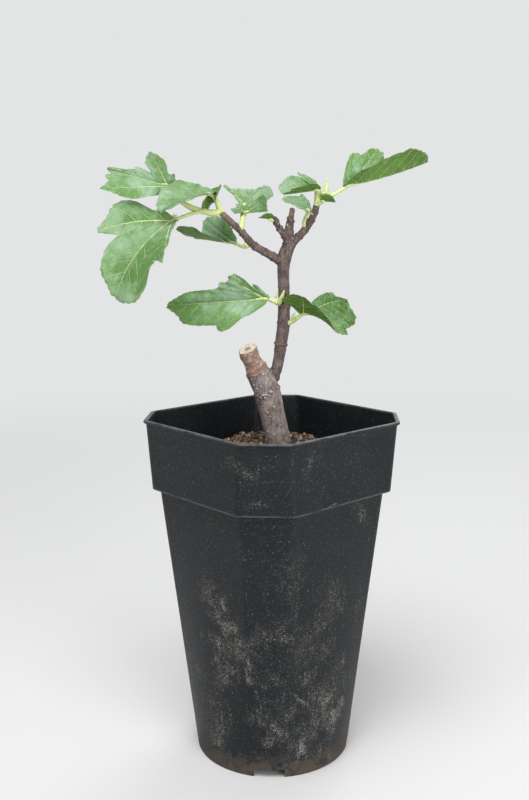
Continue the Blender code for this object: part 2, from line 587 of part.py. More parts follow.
# Each mass of foliage: its limbs, of which the first is the stem that meets the wood, its leaves and
# the wood beside it. Every other limb starts inside the stem or inside another limb.
FOLIAGE = {
    "foliage_left_tip": (
        [
            [
                (-0.0320, -0.0053, 0.3845, 0.0019),
                (-0.0350, -0.0047, 0.3890, 0.0019),
                (-0.0362, -0.0040, 0.3935, 0.0018),
            ],
            [
                (-0.0335, -0.0050, 0.3868, 0.0019),
                (-0.0390, -0.0065, 0.3860, 0.0023),
                (-0.0452, -0.0080, 0.3872, 0.0020),
            ],
            petiole(
                LEAF_FRONT_LEFT,
                (-0.0400, -0.0068, 0.3862, 0.0015),
                (-0.0480, -0.0088, 0.3868, 0.0013),
                (-0.0565, -0.0105, 0.3845, 0.0012),
            ),
            petiole(
                LEAF_BACK_LEFT,
                (-0.0425, -0.0073, 0.3864, 0.0019),
                (-0.0520, -0.0072, 0.3890, 0.0021),
                (-0.0605, -0.0068, 0.3940, 0.0017),
            ),
            petiole(LEAF_TIP_LEFT, (-0.0358, -0.0042, 0.3915, 0.0016), (-0.0385, -0.0040, 0.3965, 0.0014)),
            petiole(LEAF_TIP_DARK, (-0.0360, -0.0040, 0.3925, 0.0012)),
            petiole(LEAF_TIP_UNDER, (-0.0361, -0.0036, 0.3930, 0.0012), (-0.0380, -0.0005, 0.3958, 0.0012)),
        ],
        [LEAF_FRONT_LEFT, LEAF_BACK_LEFT, LEAF_TIP_LEFT, LEAF_TIP_DARK, LEAF_TIP_UNDER],
        LEFT_BOUGH,
    ),
    "foliage_left_low": (
        [
            petiole(
                LEAF_LOW_LEFT,
                (-0.0135, -0.0050, 0.3655, 0.0014),
                (-0.0175, -0.0035, 0.3632, 0.0013),
                (-0.0215, 0.0005, 0.3640, 0.0012),
            ),
            [
                (-0.0165, -0.0042, 0.3634, 0.0012),
                (-0.0172, -0.0052, 0.3655, 0.0013),
                (-0.0176, -0.0056, 0.3675, 0.0005),
            ],
        ],
        [LEAF_LOW_LEFT],
        LEFT_BOUGH,
    ),
    "foliage_left_crown": (
        [
            petiole(
                LEAF_UPRIGHT_FRONT,
                (-0.0205, -0.0060, 0.3745, 0.0021),
                (-0.0198, -0.0050, 0.3785, 0.0019),
                (-0.0190, -0.0035, 0.3830, 0.0015),
            ),
            petiole(LEAF_UPRIGHT, (-0.0196, -0.0045, 0.3800, 0.0013), (-0.0198, 0.0010, 0.3860, 0.0012)),
        ],
        [LEAF_UPRIGHT_FRONT, LEAF_UPRIGHT],
        LEFT_BOUGH,
    ),
    "foliage_spur": (
        [petiole(LEAF_SPUR, (0.0030, -0.0069, 0.3805, 0.0013))],
        [LEAF_SPUR],
        SHORT_SPUR,
    ),
    "foliage_stem_left": (
        [
            petiole(
                LEAF_STEM_LEFT,
                (0.0085, 0.0000, 0.3230, 0.0019),
                (0.0040, -0.0025, 0.3252, 0.0017),
                (-0.0005, -0.0048, 0.3272, 0.0013),
            ),
            [
                (0.0050, -0.0030, 0.3248, 0.0018),
                (0.0072, -0.0055, 0.3290, 0.0015),
                (0.0088, -0.0058, 0.3335, 0.0005),
            ],
        ],
        [LEAF_STEM_LEFT],
        MAIN_STEM,
    ),
    "foliage_stem_right": (
        [
            petiole(
                LEAF_STEM_RIGHT,
                (0.0080, 0.0010, 0.3100, 0.0022),
                (0.0135, -0.0010, 0.3118, 0.0018),
                (0.0175, -0.0040, 0.3145, 0.0013),
            ),
            [
                (0.0138, -0.0012, 0.3120, 0.0015),
                (0.0152, -0.0018, 0.3155, 0.0013),
                (0.0160, -0.0020, 0.3180, 0.0005),
            ],
        ],
        [LEAF_STEM_RIGHT],
        MAIN_STEM,
    ),
    "foliage_right_tip": (
        [
            [
                (0.0302, 0.0080, 0.3885, 0.0021),
                (0.0312, 0.0080, 0.3945, 0.0021),
                (0.0309, 0.0080, 0.4000, 0.0017),
            ],
            [
                (0.0308, 0.0080, 0.3915, 0.0020),
                (0.0345, 0.0077, 0.3950, 0.0026),
                (0.0368, 0.0075, 0.4000, 0.0020),
                (0.0376, 0.0072, 0.4085, 0.0005),
            ],
            petiole(
                LEAF_TIP_RIGHT,
                (0.0350, 0.0077, 0.3950, 0.0016),
                (0.0394, 0.0080, 0.3966, 0.0014),
                (0.0460, 0.0100, 0.4003, 0.0012),
            ),
            petiole(LEAF_TIP_FOLDED, (0.0310, 0.0080, 0.3985, 0.0013)),
            petiole(LEAF_TIP_SLENDER, (0.0308, 0.0080, 0.3975, 0.0014)),
            petiole(LEAF_TIP_SMALL, (0.0340, 0.0075, 0.3945, 0.0013)),
        ],
        [LEAF_TIP_RIGHT, LEAF_TIP_FOLDED, LEAF_TIP_SLENDER, LEAF_TIP_SMALL],
        RIGHT_BOUGH,
    ),
    "foliage_right_low": (
        [
            petiole(
                LEAF_LOW_RIGHT,
                (0.0228, 0.0055, 0.3745, 0.0014),
                (0.0222, 0.0030, 0.3800, 0.0012),
                (0.0240, -0.0010, 0.3845, 0.0012),
            ),
        ],
        [LEAF_LOW_RIGHT],
        RIGHT_BOUGH,
    ),
}


def make_foliage(name, material):
    """One mass: its stem, petioles and blades joined, then cut clear of the wood that carries it."""
    limbs, leaves, wood = FOLIAGE[name]
    stem = limb(name, limbs[0], material, TWIG_SIDES)
    pieces = [limb("petiole", stations, None, TWIG_SIDES) for stations in limbs[1:]]
    pieces += [leaf_blade(leaf) for leaf in leaves]
    apply_boolean(stem, "UNION", pieces)
    apply_boolean(stem, "DIFFERENCE", [limb("clearance", wood, extra=GAP)])


def make_wood(material):
    trunk = limb("trunk", TRUNK, material, TRUNK_SIDES)
    flat_foot(trunk, TRUNK_FOOT)
    stem = limb("main_stem", MAIN_STEM, material)
    apply_boolean(stem, "DIFFERENCE", [limb("clearance", TRUNK, None, TRUNK_SIDES, extra=GAP)])
    boughs = {"left_bough": LEFT_BOUGH, "right_bough": RIGHT_BOUGH, "short_spur": SHORT_SPUR}
    for name, stations in boughs.items():
        bough = limb(name, stations, material)
        apply_boolean(bough, "DIFFERENCE", [limb("clearance", MAIN_STEM, extra=GAP)])


def main():
    clear_scene()
    make_pot(finish_material("black plastic", (0.022, 0.024, 0.028), 0.55))
    make_soil(finish_material("soil", (0.10, 0.055, 0.03), 0.95))
    make_wood(finish_material("fig bark", (0.19, 0.15, 0.14), 0.8))
    leaf_green = finish_material("fig leaf", (0.13, 0.26, 0.07), 0.6)
    for name in FOLIAGE:
        make_foliage(name, leaf_green)


main()
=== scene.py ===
"""A young fig tree in a tall nursery pot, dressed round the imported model."""

from collections import namedtuple

import bpy
import numpy as np
from mathutils import Matrix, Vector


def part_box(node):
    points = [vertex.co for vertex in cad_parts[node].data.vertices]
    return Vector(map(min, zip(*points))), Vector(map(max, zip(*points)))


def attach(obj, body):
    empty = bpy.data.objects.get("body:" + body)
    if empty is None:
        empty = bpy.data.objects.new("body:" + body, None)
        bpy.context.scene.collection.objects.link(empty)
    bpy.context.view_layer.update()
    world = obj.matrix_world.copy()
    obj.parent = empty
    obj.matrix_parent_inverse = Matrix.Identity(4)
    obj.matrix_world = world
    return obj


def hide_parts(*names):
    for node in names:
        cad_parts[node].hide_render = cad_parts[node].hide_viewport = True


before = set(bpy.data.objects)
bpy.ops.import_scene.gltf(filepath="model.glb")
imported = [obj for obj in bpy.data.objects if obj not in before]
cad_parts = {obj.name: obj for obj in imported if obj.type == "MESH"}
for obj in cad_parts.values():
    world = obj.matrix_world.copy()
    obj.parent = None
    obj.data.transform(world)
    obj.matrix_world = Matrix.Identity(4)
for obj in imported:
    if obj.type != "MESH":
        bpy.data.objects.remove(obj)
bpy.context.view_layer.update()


# The camera. It stands where the photograph was taken from, a little above the rim and looking
# slightly down, with a short telephoto lens.
CAMERA_PLACE = (0.0321, -0.6885, 0.3835)
CAMERA_PAN, CAMERA_PITCH, CAMERA_ROLL = np.radians([-3.0957, 10.4237, -0.2389])
CAMERA_LENS, SENSOR_WIDTH = 44.86, 36.0


def camera_axes(pan, pitch, roll):
    """Right, up and backward axes of a camera that pans from +Y, tips down and then rolls."""
    ahead = np.array([np.sin(pan) * np.cos(pitch), np.cos(pan) * np.cos(pitch), -np.sin(pitch)])
    level = np.cross(ahead, (0, 0, 1))
    level /= np.linalg.norm(level)
    upright = np.cross(level, ahead)
    right = np.cos(roll) * level + np.sin(roll) * upright
    up = np.cos(roll) * upright - np.sin(roll) * level
    return np.stack([right, up, -ahead], axis=1)


camera_data = bpy.data.cameras.new("camera")
camera_data.lens = CAMERA_LENS
camera_data.sensor_width = SENSOR_WIDTH
camera = bpy.data.objects.new("camera", camera_data)
axes = Matrix(camera_axes(CAMERA_PAN, CAMERA_PITCH, CAMERA_ROLL).tolist()).to_4x4()
camera.matrix_world = Matrix.Translation(CAMERA_PLACE) @ axes
bpy.context.scene.collection.objects.link(camera)
bpy.context.scene.camera = camera


# The studio. A plain pale floor runs back into a glowing pale wall. One broad soft light stands high
# in front, a weaker one low on the right and one behind, so that shadows stay soft from every side.
FLOOR_SIZE = 12.0
FLOOR_COLOUR = (0.60, 0.60, 0.60)
BLACK = (0.0, 0.0, 0.0)
SURROUND_COLOUR, SURROUND_STRENGTH = (0.77, 0.78, 0.785), 0.50
GLOW_FROM, GLOW_TO = 0.35, 1.6
WALL_DISTANCE, WALL_TURN = 4.0, (np.pi / 2, 0, 0)
AIM_HEIGHT = 0.25
# Each light's place, width and power. All of them point at the plant.
LIGHTS = {
    "key": ((-0.30, -0.85, 1.8), 1.2, 36.0),
    "fill": ((0.9, -1.2, 0.45), 0.9, 15.0),
    "back": ((0.5, 1.2, 1.2), 1.0, 10.0),
}

bpy.context.scene.view_settings.view_transform = "Standard"
world = bpy.data.worlds.new("surround")
world.use_nodes = True
surround = world.node_tree.nodes["Background"]
surround.inputs["Color"].default_value = (*SURROUND_COLOUR, 1.0)
surround.inputs["Strength"].default_value = SURROUND_STRENGTH
bpy.context.scene.world = world

for name, (place, size, power) in LIGHTS.items():
    light_data = bpy.data.lights.new(name, "AREA")
    light_data.size = size
    light_data.energy = power
    light = bpy.data.objects.new(name, light_data)
    toward = np.array([0.0, 0.0, AIM_HEIGHT]) - np.array(place)
    pan = np.arctan2(toward[0], toward[1])
    pitch = -np.arcsin(toward[2] / np.linalg.norm(toward))
    turn = Matrix(camera_axes(pan, pitch, 0.0).tolist()).to_4x4()
    light.matrix_world = Matrix.Translation(place) @ turn
    bpy.context.scene.collection.objects.link(light)


class Wire:
    """A socket of a finish. Arithmetic on it adds the Math node that does it."""

    def __init__(self, finish, socket):
        self.finish = finish
        self.socket = socket

    def __add__(self, other):
        return self.finish.math("ADD", self, other)

    __radd__ = __add__

    def __sub__(self, other):
        return self.finish.math("SUBTRACT", self, other)

    def __rsub__(self, other):
        return self.finish.math("SUBTRACT", other, self)

    def __mul__(self, other):
        return self.finish.math("MULTIPLY", self, other)

    __rmul__ = __mul__

    def __abs__(self):
        return self.finish.math("ABSOLUTE", self)


class Finish:
    """A material that is built from nodes. Keyword arguments set its shader's constants."""

    def __init__(self, name, **constants):
        self.material = bpy.data.materials.new(name)
        self.material.use_nodes = True
        self.tree = self.material.node_tree
        self.shader = self.tree.nodes["Principled BSDF"]
        for socket, value in constants.items():
            self.set(socket.replace("_", " "), value)

    def plug(self, socket, value):
        """Links a wire to a socket, or sets the socket to a number, a vector or a colour."""
        if isinstance(value, Wire):
            self.tree.links.new(value.socket, socket)
        elif isinstance(value, tuple) and len(value) == 3 and socket.type == "RGBA":
            socket.default_value = (*value, 1.0)
        else:
            socket.default_value = value

    def set(self, socket, value):
        self.plug(self.shader.inputs[socket], value)

    def node(self, kind, settings=None, values=None, output=0):
        """Adds a node, with its settings and the values or wires of its sockets."""
        node = self.tree.nodes.new(kind)
        for key, value in (settings or {}).items():
            setattr(node, key, value)
        for key, value in (values or {}).items():
            self.plug(node.inputs[key], value)
        return Wire(self, node.outputs[output])

    def math(self, operation, *values):
        return self.node("ShaderNodeMath", {"operation": operation}, dict(enumerate(values)))

    def length(self, vector):
        return self.node("ShaderNodeVectorMath", {"operation": "LENGTH"}, {0: vector}, output="Value")

    def place(self):
        return self.node("ShaderNodeTexCoord", output="Object")

    def attribute(self, name, output="Fac"):
        return self.node("ShaderNodeAttribute", {"attribute_name": name}, output=output)

    def part(self, vector, axis):
        return self.node("ShaderNodeSeparateXYZ", None, {"Vector": vector}, output=axis)

    def stretched(self, vector, scale, turn=(0.0, 0.0, 0.0)):
        """The same place, scaled along each axis and turned, for a pattern that runs one way."""
        values = {"Vector": vector, "Scale": scale, "Rotation": turn}
        return self.node("ShaderNodeMapping", None, values)

    def noise(self, vector, scale, detail=2.0, roughness=0.5):
        """Cloudy noise of scale clouds to the metre, with finer clouds in it by detail."""
        values = {"Vector": vector, "Scale": scale, "Detail": detail, "Roughness": roughness}
        return self.node("ShaderNodeTexNoise", None, values)

    def cells(self, vector, scale, feature="F1", output="Distance"):
        """Irregular cells, scale of them to the metre."""
        values = {"Vector": vector, "Scale": scale}
        return self.node("ShaderNodeTexVoronoi", {"feature": feature}, values, output)

    def rise(self, value, low, high):
        """0 below low and 1 above high, with a smooth step between. low may be above high."""
        settings = {"interpolation_type": "SMOOTHSTEP"}
        values = {"Value": value, "From Min": low, "From Max": high}
        return self.node("ShaderNodeMapRange", settings, values)

    def mix(self, share, first, second):
        """A colour that goes from first to second. 6, 7 and 2 are the node's colour sockets."""
        values = {0: share, 6: first, 7: second}
        return self.node("ShaderNodeMix", {"data_type": "RGBA"}, values, output=2)

    def bump(self, height, distance, strength=1.0):
        values = {"Height": height, "Distance": distance, "Strength": strength}
        self.set("Normal", self.node("ShaderNodeBump", None, values))


def floor_finish():
    """Plain pale paint that turns, away from the object, into the glow of the surround."""
    finish = Finish("pale floor", Roughness=0.9, Specular_IOR_Level=0.0, Emission_Strength=1.0)
    glow = finish.rise(finish.length(finish.place()), GLOW_FROM, GLOW_TO)
    finish.set("Base Color", finish.mix(glow, FLOOR_COLOUR, BLACK))
    finish.set("Emission Color", finish.mix(glow, BLACK, SURROUND_COLOUR))
    return finish


bpy.ops.mesh.primitive_plane_add(size=FLOOR_SIZE)
floor = bpy.context.object
floor.name = "floor"
floor.data.materials.append(floor_finish().material)

bpy.ops.mesh.primitive_plane_add(size=FLOOR_SIZE, location=(0, WALL_DISTANCE, 0), rotation=WALL_TURN)
wall = bpy.context.object
wall.name = "wall"
wall_glow = Finish("wall glow", Base_Color=BLACK, Specular_IOR_Level=0.0, Emission_Strength=1.0)
wall_glow.set("Emission Color", SURROUND_COLOUR)
wall.data.materials.append(wall_glow.material)


# The pot. One thin shell of black polypropylene, injection moulded: a rolled lip, a tapered collar
# with chamfered corners, a body that turns from the square to a round foot, and a foot ring with
# four drain notches. Dusty from use, with dried soil round its foot.
POT_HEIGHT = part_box("pot")[1][2]
POT_WALL = 0.0012
LIP_HALF_SIDE, LIP_CORNER = 0.0750, 0.0887
LIP_HEIGHT, LIP_OVERHANG = 0.0024, 0.0018
COLLAR_HEIGHT = 0.049
COLLAR_FOOT_HALF_SIDE, COLLAR_FOOT_CORNER = 0.0719, 0.0829
BODY_STEP = 0.0050
FOOT_RADIUS, FOOT_RING_WIDTH = 0.0554, 0.0034
FLOOR_UNDERSIDE, FLOOR_TOP = 0.0040, 0.0054
CORNER_SHARPNESS, ROUNDING_POWER = 150, 1.3
NOTCH_WIDTH, NOTCH_HEIGHT = 0.0215, 0.0060
NOTCH_MIDDLE, NOTCH_LENGTH = 0.053, 0.018
EDGE_ROUND = 0.0007
FILLET, FILLET_MIDDLE = 0.0006, 0.0002
# How far the rows of a straight wall keep from its corners, outside and inside.
OUTER_GAP, INNER_GAP, COLLAR_FOOT_GAP = 0.0008, 0.001, 0.004
POT_COLUMNS, BODY_ROWS, COLLAR_ROWS = 320, 30, 8
CORNER_STEPS, BEAD_STEPS = 5, 9
SHARP_EDGE = np.radians(40)

PLASTIC_DEEP, PLASTIC_LIGHT = (0.0050, 0.0070, 0.0085), (0.0115, 0.0145, 0.0170)
DUST_COLOUR, SPECK_COLOUR = (0.150, 0.138, 0.120), (0.32, 0.30, 0.27)
# Dried soil, and the pale grey of painted highlights on the collar's lower edge and the lip's top.
DRIED_SOIL_COLOUR, EDGE_HIGHLIGHT_COLOUR = (0.090, 0.070, 0.053), (0.105, 0.110, 0.115)
# Marks of dried soil on the front: across, height, turn in degrees, half length, half width, strength.
DIRT_MARKS = (
    (-0.019, 0.096, -64, 0.060, 0.0110, 0.50),
    (-0.010, 0.070, -60, 0.032, 0.0030, 0.40),
    (-0.034, 0.104, -82, 0.048, 0.0150, 0.60),
    (-0.002, 0.040, -55, 0.022, 0.0110, 0.50),
    (0.062, 0.186, -58, 0.013, 0.0055, 0.75),
    (0.038, 0.046, 62, 0.034, 0.0170, 0.70),
    (0.021, 0.060, -48, 0.012, 0.0016, 0.80),
    (0.036, 0.110, 70, 0.050, 0.0200, 0.45),
    (0.014, 0.135, 80, 0.050, 0.0160, 0.30),
    (-0.016, 0.228, -25, 0.014, 0.0060, 0.60),
    (-0.006, 0.203, 10, 0.012, 0.0040, 0.60),
    (0.026, 0.228, 75, 0.014, 0.0050, 0.50),
    (0.041, 0.1975, 14, 0.006, 0.0005, 1.60),
)
FRONT_FROM, FRONT_FULL = -0.010, -0.030
DUSTY_BELOW, DUSTIEST_BELOW = 0.175, 0.015
SOILED_BELOW, MOST_SOILED_BELOW = 0.026, 0.001
# Where the painted highlights lie: a band round the collar's lower edge, and the top of the lip.
EDGE_HIGHLIGHT_MIDDLE, EDGE_HIGHLIGHT_REACH, EDGE_HIGHLIGHT_FULL = 0.0005, 0.0011, 0.0003
LIP_HIGHLIGHT_FROM, LIP_HIGHLIGHT_FULL = 0.0016, 0.0002
MARK_WARP, MARK_CORE_LENGTH, MARK_CORE_WIDTH = 3.0, 0.4, 0.1
SMEAR_STRETCH, SMEAR_TURN = (150, 150, 30), (0.0, 0.42, 0.3)


def chamfered_square(angles, half_side, corner):
    """Distance to the wall: a high power mean of its eight flat faces, which rounds the edges."""
    total = 0.0
    for quarter in range(4):
        facing_corner = np.maximum(np.cos(angles - quarter * np.pi / 2), 0)
        facing_side = np.maximum(np.cos(angles - quarter * np.pi / 2 - np.pi / 4), 0)
        total = total + (facing_corner / corner) ** CORNER_SHARPNESS
        total = total + (facing_side / half_side) ** CORNER_SHARPNESS
    return total ** (-1 / CORNER_SHARPNESS)


def collar_wall(angles, heights):
    """The collar's radius, a straight taper from under the lip to its own foot."""
    share = (heights - (POT_HEIGHT - COLLAR_HEIGHT)) / (COLLAR_HEIGHT - LIP_HEIGHT)
    half_side = COLLAR_FOOT_HALF_SIDE + share * (LIP_HALF_SIDE - LIP_OVERHANG - COLLAR_FOOT_HALF_SIDE)
    corner = COLLAR_FOOT_CORNER + share * (LIP_CORNER - LIP_OVERHANG - COLLAR_FOOT_CORNER)
    return chamfered_square(angles, half_side, corner)


def body_wall(angles, heights):
    """The body's radius, a straight taper whose section turns from the square to a circle."""
    share = heights / (POT_HEIGHT - COLLAR_HEIGHT)
    corner = FOOT_RADIUS + share * (COLLAR_FOOT_CORNER - BODY_STEP - FOOT_RADIUS)
    half_side = corner * (COLLAR_FOOT_HALF_SIDE - BODY_STEP) / (COLLAR_FOOT_CORNER - BODY_STEP)
    roundness = np.clip(1 - share, 0, 1) ** ROUNDING_POWER
    return (1 - roundness) * chamfered_square(angles, half_side, corner) + roundness * corner


def arc(radius, start, end, steps=CORNER_STEPS):
    """Offsets along a quarter round: (outward, up) from its centre, between two angles in degrees."""
    turn = np.radians(np.linspace(start, end, steps))
    return radius * np.cos(turn), radius * np.sin(turn)


def pot_profile():
    """Rows of (share of collar, height, outward offset), from under the floor to its top.

    They run down the foot ring's inside, up the body, out under the collar and up it, round the
    lip's bead, and down the inside to the floor, with a quarter round or a small fillet at a corner.
    """
    step, lip = POT_HEIGHT - COLLAR_HEIGHT, POT_HEIGHT - LIP_HEIGHT
    rows = [(0, FLOOR_UNDERSIDE, -FOOT_RING_WIDTH)]
    out, up = arc(EDGE_ROUND, 180, 270)
    rows += [(0, z, x) for x, z in zip(-FOOT_RING_WIDTH + EDGE_ROUND + out, EDGE_ROUND + up)]
    out, up = arc(EDGE_ROUND, 270, 360)
    rows += [(0, z, x) for x, z in zip(out - EDGE_ROUND, EDGE_ROUND + up)]
    rows += [(0, z, 0.0) for z in np.linspace(NOTCH_HEIGHT, step - FILLET, BODY_ROWS)]
    rows += [(0, step, FILLET_MIDDLE), (0, step, FILLET)]
    rows += [(1, step + EDGE_ROUND + z, x - EDGE_ROUND) for x, z in zip(out, up)]
    rows += [(1, z, 0.0) for z in np.linspace(step + COLLAR_FOOT_GAP, lip - OUTER_GAP, COLLAR_ROWS)]
    rows += [(1, lip - FILLET_MIDDLE, FILLET_MIDDLE), (1, lip, EDGE_ROUND)]
    bead = LIP_HEIGHT / 2
    out, up = arc(bead, -80, 90, BEAD_STEPS)
    rows += [(1, lip + bead + z, LIP_OVERHANG - bead + x) for x, z in zip(out, up)]
    out, up = arc(EDGE_ROUND, 90, 180)
    rows += [(1, POT_HEIGHT - EDGE_ROUND + z, EDGE_ROUND - POT_WALL + x) for x, z in zip(out, up)]
    ledge = step + POT_WALL
    rows += [(1, z, -POT_WALL) for z in np.linspace(lip - 2 * INNER_GAP, ledge + INNER_GAP, COLLAR_ROWS)]
    rows += [(1, ledge, -POT_WALL - FILLET), (0, ledge, -POT_WALL + 2 * FILLET_MIDDLE)]
    rows += [(0, z, -POT_WALL) for z in np.linspace(step - INNER_GAP, FLOOR_TOP + INNER_GAP, BODY_ROWS)]
    rows += [(0, FLOOR_TOP, -POT_WALL - OUTER_GAP)]
    return np.array(rows)


def ring_quads(rows, columns):
    """Corners of the quads of a grid whose rows close into rings."""
    row, column = np.meshgrid(np.arange(rows - 1), np.arange(columns), indexing="ij")
    beside = (column + 1) % columns
    corners = [row * columns + column, row * columns + beside]
    corners += [(row + 1) * columns + beside, (row + 1) * columns + column]
    return np.stack(corners, axis=-1).reshape(-1, 4)


def closed_rings(rings, first, last):
    """A shell of rings, closed by a fan at each end. Returns its points, quads and triangles."""
    rows, columns = rings.shape[:2]
    points = np.vstack([rings.reshape(-1, 3), first, last])
    column = np.arange(columns)
    beside = (column + 1) % columns
    end = (rows - 1) * columns
    low = np.stack([np.full(columns, rows * columns), beside, column], axis=1)
    high = np.stack([end + column, end + beside, np.full(columns, rows * columns + 1)], axis=1)
    return points, ring_quads(rows, columns), np.vstack([low, high])


def mesh_piece(name, finish, points, quads, triangles, values=None):
    """A smooth-shaded object from arrays of corners, with named values on its points."""
    mesh = bpy.data.meshes.new(name)
    corners = np.concatenate([quads.ravel(), triangles.ravel()]).astype(np.int32)
    quad_starts = 4 * np.arange(len(quads))
    triangle_starts = 4 * len(quads) + 3 * np.arange(len(triangles))
    starts = np.concatenate([quad_starts, triangle_starts]).astype(np.int32)
    mesh.vertices.add(len(points))
    mesh.vertices.foreach_set("co", np.ascontiguousarray(points, np.float32).ravel())
    mesh.loops.add(len(corners))
    mesh.loops.foreach_set("vertex_index", corners)
    mesh.polygons.add(len(starts))
    mesh.polygons.foreach_set("loop_start", starts)
    mesh.update(calc_edges=True)
    mesh.validate()
    mesh.shade_smooth()
    for key, value in (values or {}).items():
        kind, field = ("FLOAT", "value") if value.ndim == 1 else ("FLOAT_VECTOR", "vector")
        layer = mesh.attributes.new(key, kind, "POINT")
        layer.data.foreach_set(field, value.astype(np.float32).ravel())
    mesh.materials.append(finish.material)
    piece = bpy.data.objects.new(name, mesh)
    bpy.context.scene.collection.objects.link(piece)
    return piece


def cut_notch(pot, angle):
    """Takes a drain notch out of the foot ring: a box that stands across the ring at this angle."""
    place = (NOTCH_MIDDLE * np.cos(angle), NOTCH_MIDDLE * np.sin(angle), 0)
    bpy.ops.mesh.primitive_cube_add(size=1, location=place, rotation=(0, 0, angle))
    cutter = bpy.context.object
    cutter.scale = (NOTCH_LENGTH, NOTCH_WIDTH, 2 * NOTCH_HEIGHT)
    cut = pot.modifiers.new("notch", "BOOLEAN")
    cut.operation = "DIFFERENCE"
    cut.solver = "EXACT"
    cut.object = cutter
    with bpy.context.temp_override(object=pot, active_object=pot):
        bpy.ops.object.modifier_apply(modifier=cut.name)
    bpy.data.objects.remove(cutter, do_unlink=True)


def dirt_mark(finish, across, height, warp, mark):
    """A smear along a short slanting line, with ragged edges: its strength there and 0 clear of it."""
    place, level, turn, half_length, half_width, strength = mark
    cosine, sine = np.cos(np.radians(turn)), np.sin(np.radians(turn))
    run = (across - place) * cosine + (height - level) * sine
    aside = (height - level) * cosine - (across - place) * sine + warp * half_width * MARK_WARP
    lengthwise = finish.rise(abs(run), half_length, half_length * MARK_CORE_LENGTH)
    widthwise = finish.rise(abs(aside), half_width, half_width * MARK_CORE_WIDTH)
    return lengthwise * widthwise * strength


def dirt_cover(finish, place, height):
    """The marks on the front, and clouds and slanting smears of dust that thicken toward the foot."""
    across, depth = finish.part(place, "X"), finish.part(place, "Y")
    warp = finish.noise(place, 75, 4, 0.6) - 0.5
    marks = sum(dirt_mark(finish, across, height, warp, mark) for mark in DIRT_MARKS)
    marks = marks * finish.rise(depth, FRONT_FROM, FRONT_FULL)
    low = finish.rise(height, DUSTY_BELOW, DUSTIEST_BELOW)
    cloud = finish.rise(finish.noise(place, 38, 6, 0.66), 0.46, 0.72)
    smear_place = finish.stretched(place, SMEAR_STRETCH, SMEAR_TURN)
    smear = finish.rise(finish.noise(smear_place, 1.0, 5, 0.65), 0.50, 0.72)
    broken = finish.rise(finish.noise(place, 120, 4, 0.7), 0.30, 0.60)
    return marks * broken * 0.95 + cloud * (0.20 + low * 0.60) + smear * (0.16 + low * 0.50)


def dried_soil(finish, place, height):
    """Patches of brown soil that cling to the lowest part of the body."""
    foot = finish.rise(height, SOILED_BELOW, MOST_SOILED_BELOW)
    return foot * finish.rise(finish.noise(place, 130, 6, 0.75) + foot * 0.16, 0.50, 0.66)


def painted_edge_highlights(finish, place, height):
    """Painted highlights: paler grey on the collar's lower edge and on the top of the lip, broken up by
    noise.
    """
    from_edge = height - (POT_HEIGHT - COLLAR_HEIGHT + EDGE_HIGHLIGHT_MIDDLE)
    edge_glint = finish.rise(abs(from_edge), EDGE_HIGHLIGHT_REACH, EDGE_HIGHLIGHT_FULL) * 0.55
    edge_glint = edge_glint + finish.rise(height, POT_HEIGHT - LIP_HIGHLIGHT_FROM, POT_HEIGHT - LIP_HIGHLIGHT_FULL) * 0.7
    return edge_glint * finish.rise(finish.noise(place, 90, 4, 0.7), 0.30, 0.60)


def pot_plastic():
    """Black plastic under gritty dust, pale specks and brown soil at the foot, with painted highlights on
    the collar's lower edge and the lip.
    """
    finish = Finish("pot plastic", IOR=1.48, Specular_IOR_Level=0.22)
    place = finish.place()
    height = finish.part(place, "Z")
    dirt = dirt_cover(finish, place, height)
    grit = finish.noise(place, 520, 5, 0.75)
    dust = dirt * finish.rise(grit, 0.40, 0.66)
    specks = finish.rise(finish.noise(place, 1500, 2) + dirt * 0.13, 0.67, 0.74)
    soil_marks = dried_soil(finish, place, height)
    colour = finish.mix(finish.noise(place, 14, 3), PLASTIC_DEEP, PLASTIC_LIGHT)
    colour = finish.mix(finish.rise(dust, 0.0, 1.05), colour, DUST_COLOUR)
    colour = finish.mix(specks * 0.7, colour, SPECK_COLOUR)
    colour = finish.mix(soil_marks * 0.75, colour, DRIED_SOIL_COLOUR)
    # Painted highlights on the collar's lower edge and the top of the lip.
    colour = finish.mix(painted_edge_highlights(finish, place, height), colour, EDGE_HIGHLIGHT_COLOUR)
    finish.set("Base Color", colour)
    finish.set("Roughness", 0.38 + 0.40 * dust + 0.35 * soil_marks + 0.12 * grit)
    finish.bump(grit * 0.5 + soil_marks * 1.5 + specks * 0.8, 0.00016, 0.6)
    return finish


angles = np.linspace(0, 2 * np.pi, POT_COLUMNS, endpoint=False)[None, :]
collar_share, heights, offsets = pot_profile().T[:, :, None]
radii = (1 - collar_share) * body_wall(angles, heights) + collar_share * collar_wall(angles, heights)
radii = radii + offsets
levels = np.broadcast_to(heights, radii.shape)
pot_rings = np.stack([radii * np.cos(angles), radii * np.sin(angles), levels], axis=-1)
pot_shell = closed_rings(pot_rings, (0, 0, FLOOR_UNDERSIDE), (0, 0, FLOOR_TOP))
pot = mesh_piece("nursery_pot", pot_plastic(), *pot_shell)
for quarter in range(4):
    cut_notch(pot, quarter * np.pi / 2)
pot.data.set_sharp_from_angle(angle=SHARP_EDGE)
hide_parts("pot")
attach(pot, "root")


# The soil. A granular mix of bark, clay and pumice grains, 2 to 4 mm across, heaped a little round
# the trunk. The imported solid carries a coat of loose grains.
SOIL_TOP, SOIL_EDGE = 0.2260, 0.2060
MOUND_CENTRE = (-0.001, 0.005)
MOUND_FLAT, MOUND_REACH = 0.026, 0.062
GRAIN_COUNT = 3900
GRAIN_SIZE, GRAIN_SORTS = (0.0009, 0.0019), (0.7, 1.0, 1.25)
# Ranges of a grain's lift off the soil, its squash and its lumps, as shares of its size.
GRAIN_LIFT, GRAIN_SQUASH, GRAIN_LUMPS = (-0.2, 0.7), (0.65, 1.15), (0.85, 1.12)
GRAIN_ROWS, GRAIN_COLUMNS, GRAIN_LATITUDE = 4, 6, 54
GRAIN_SEED, TINY = 11, 1e-6
CELL_SCALE, PORE_SCALE = 380, 1500
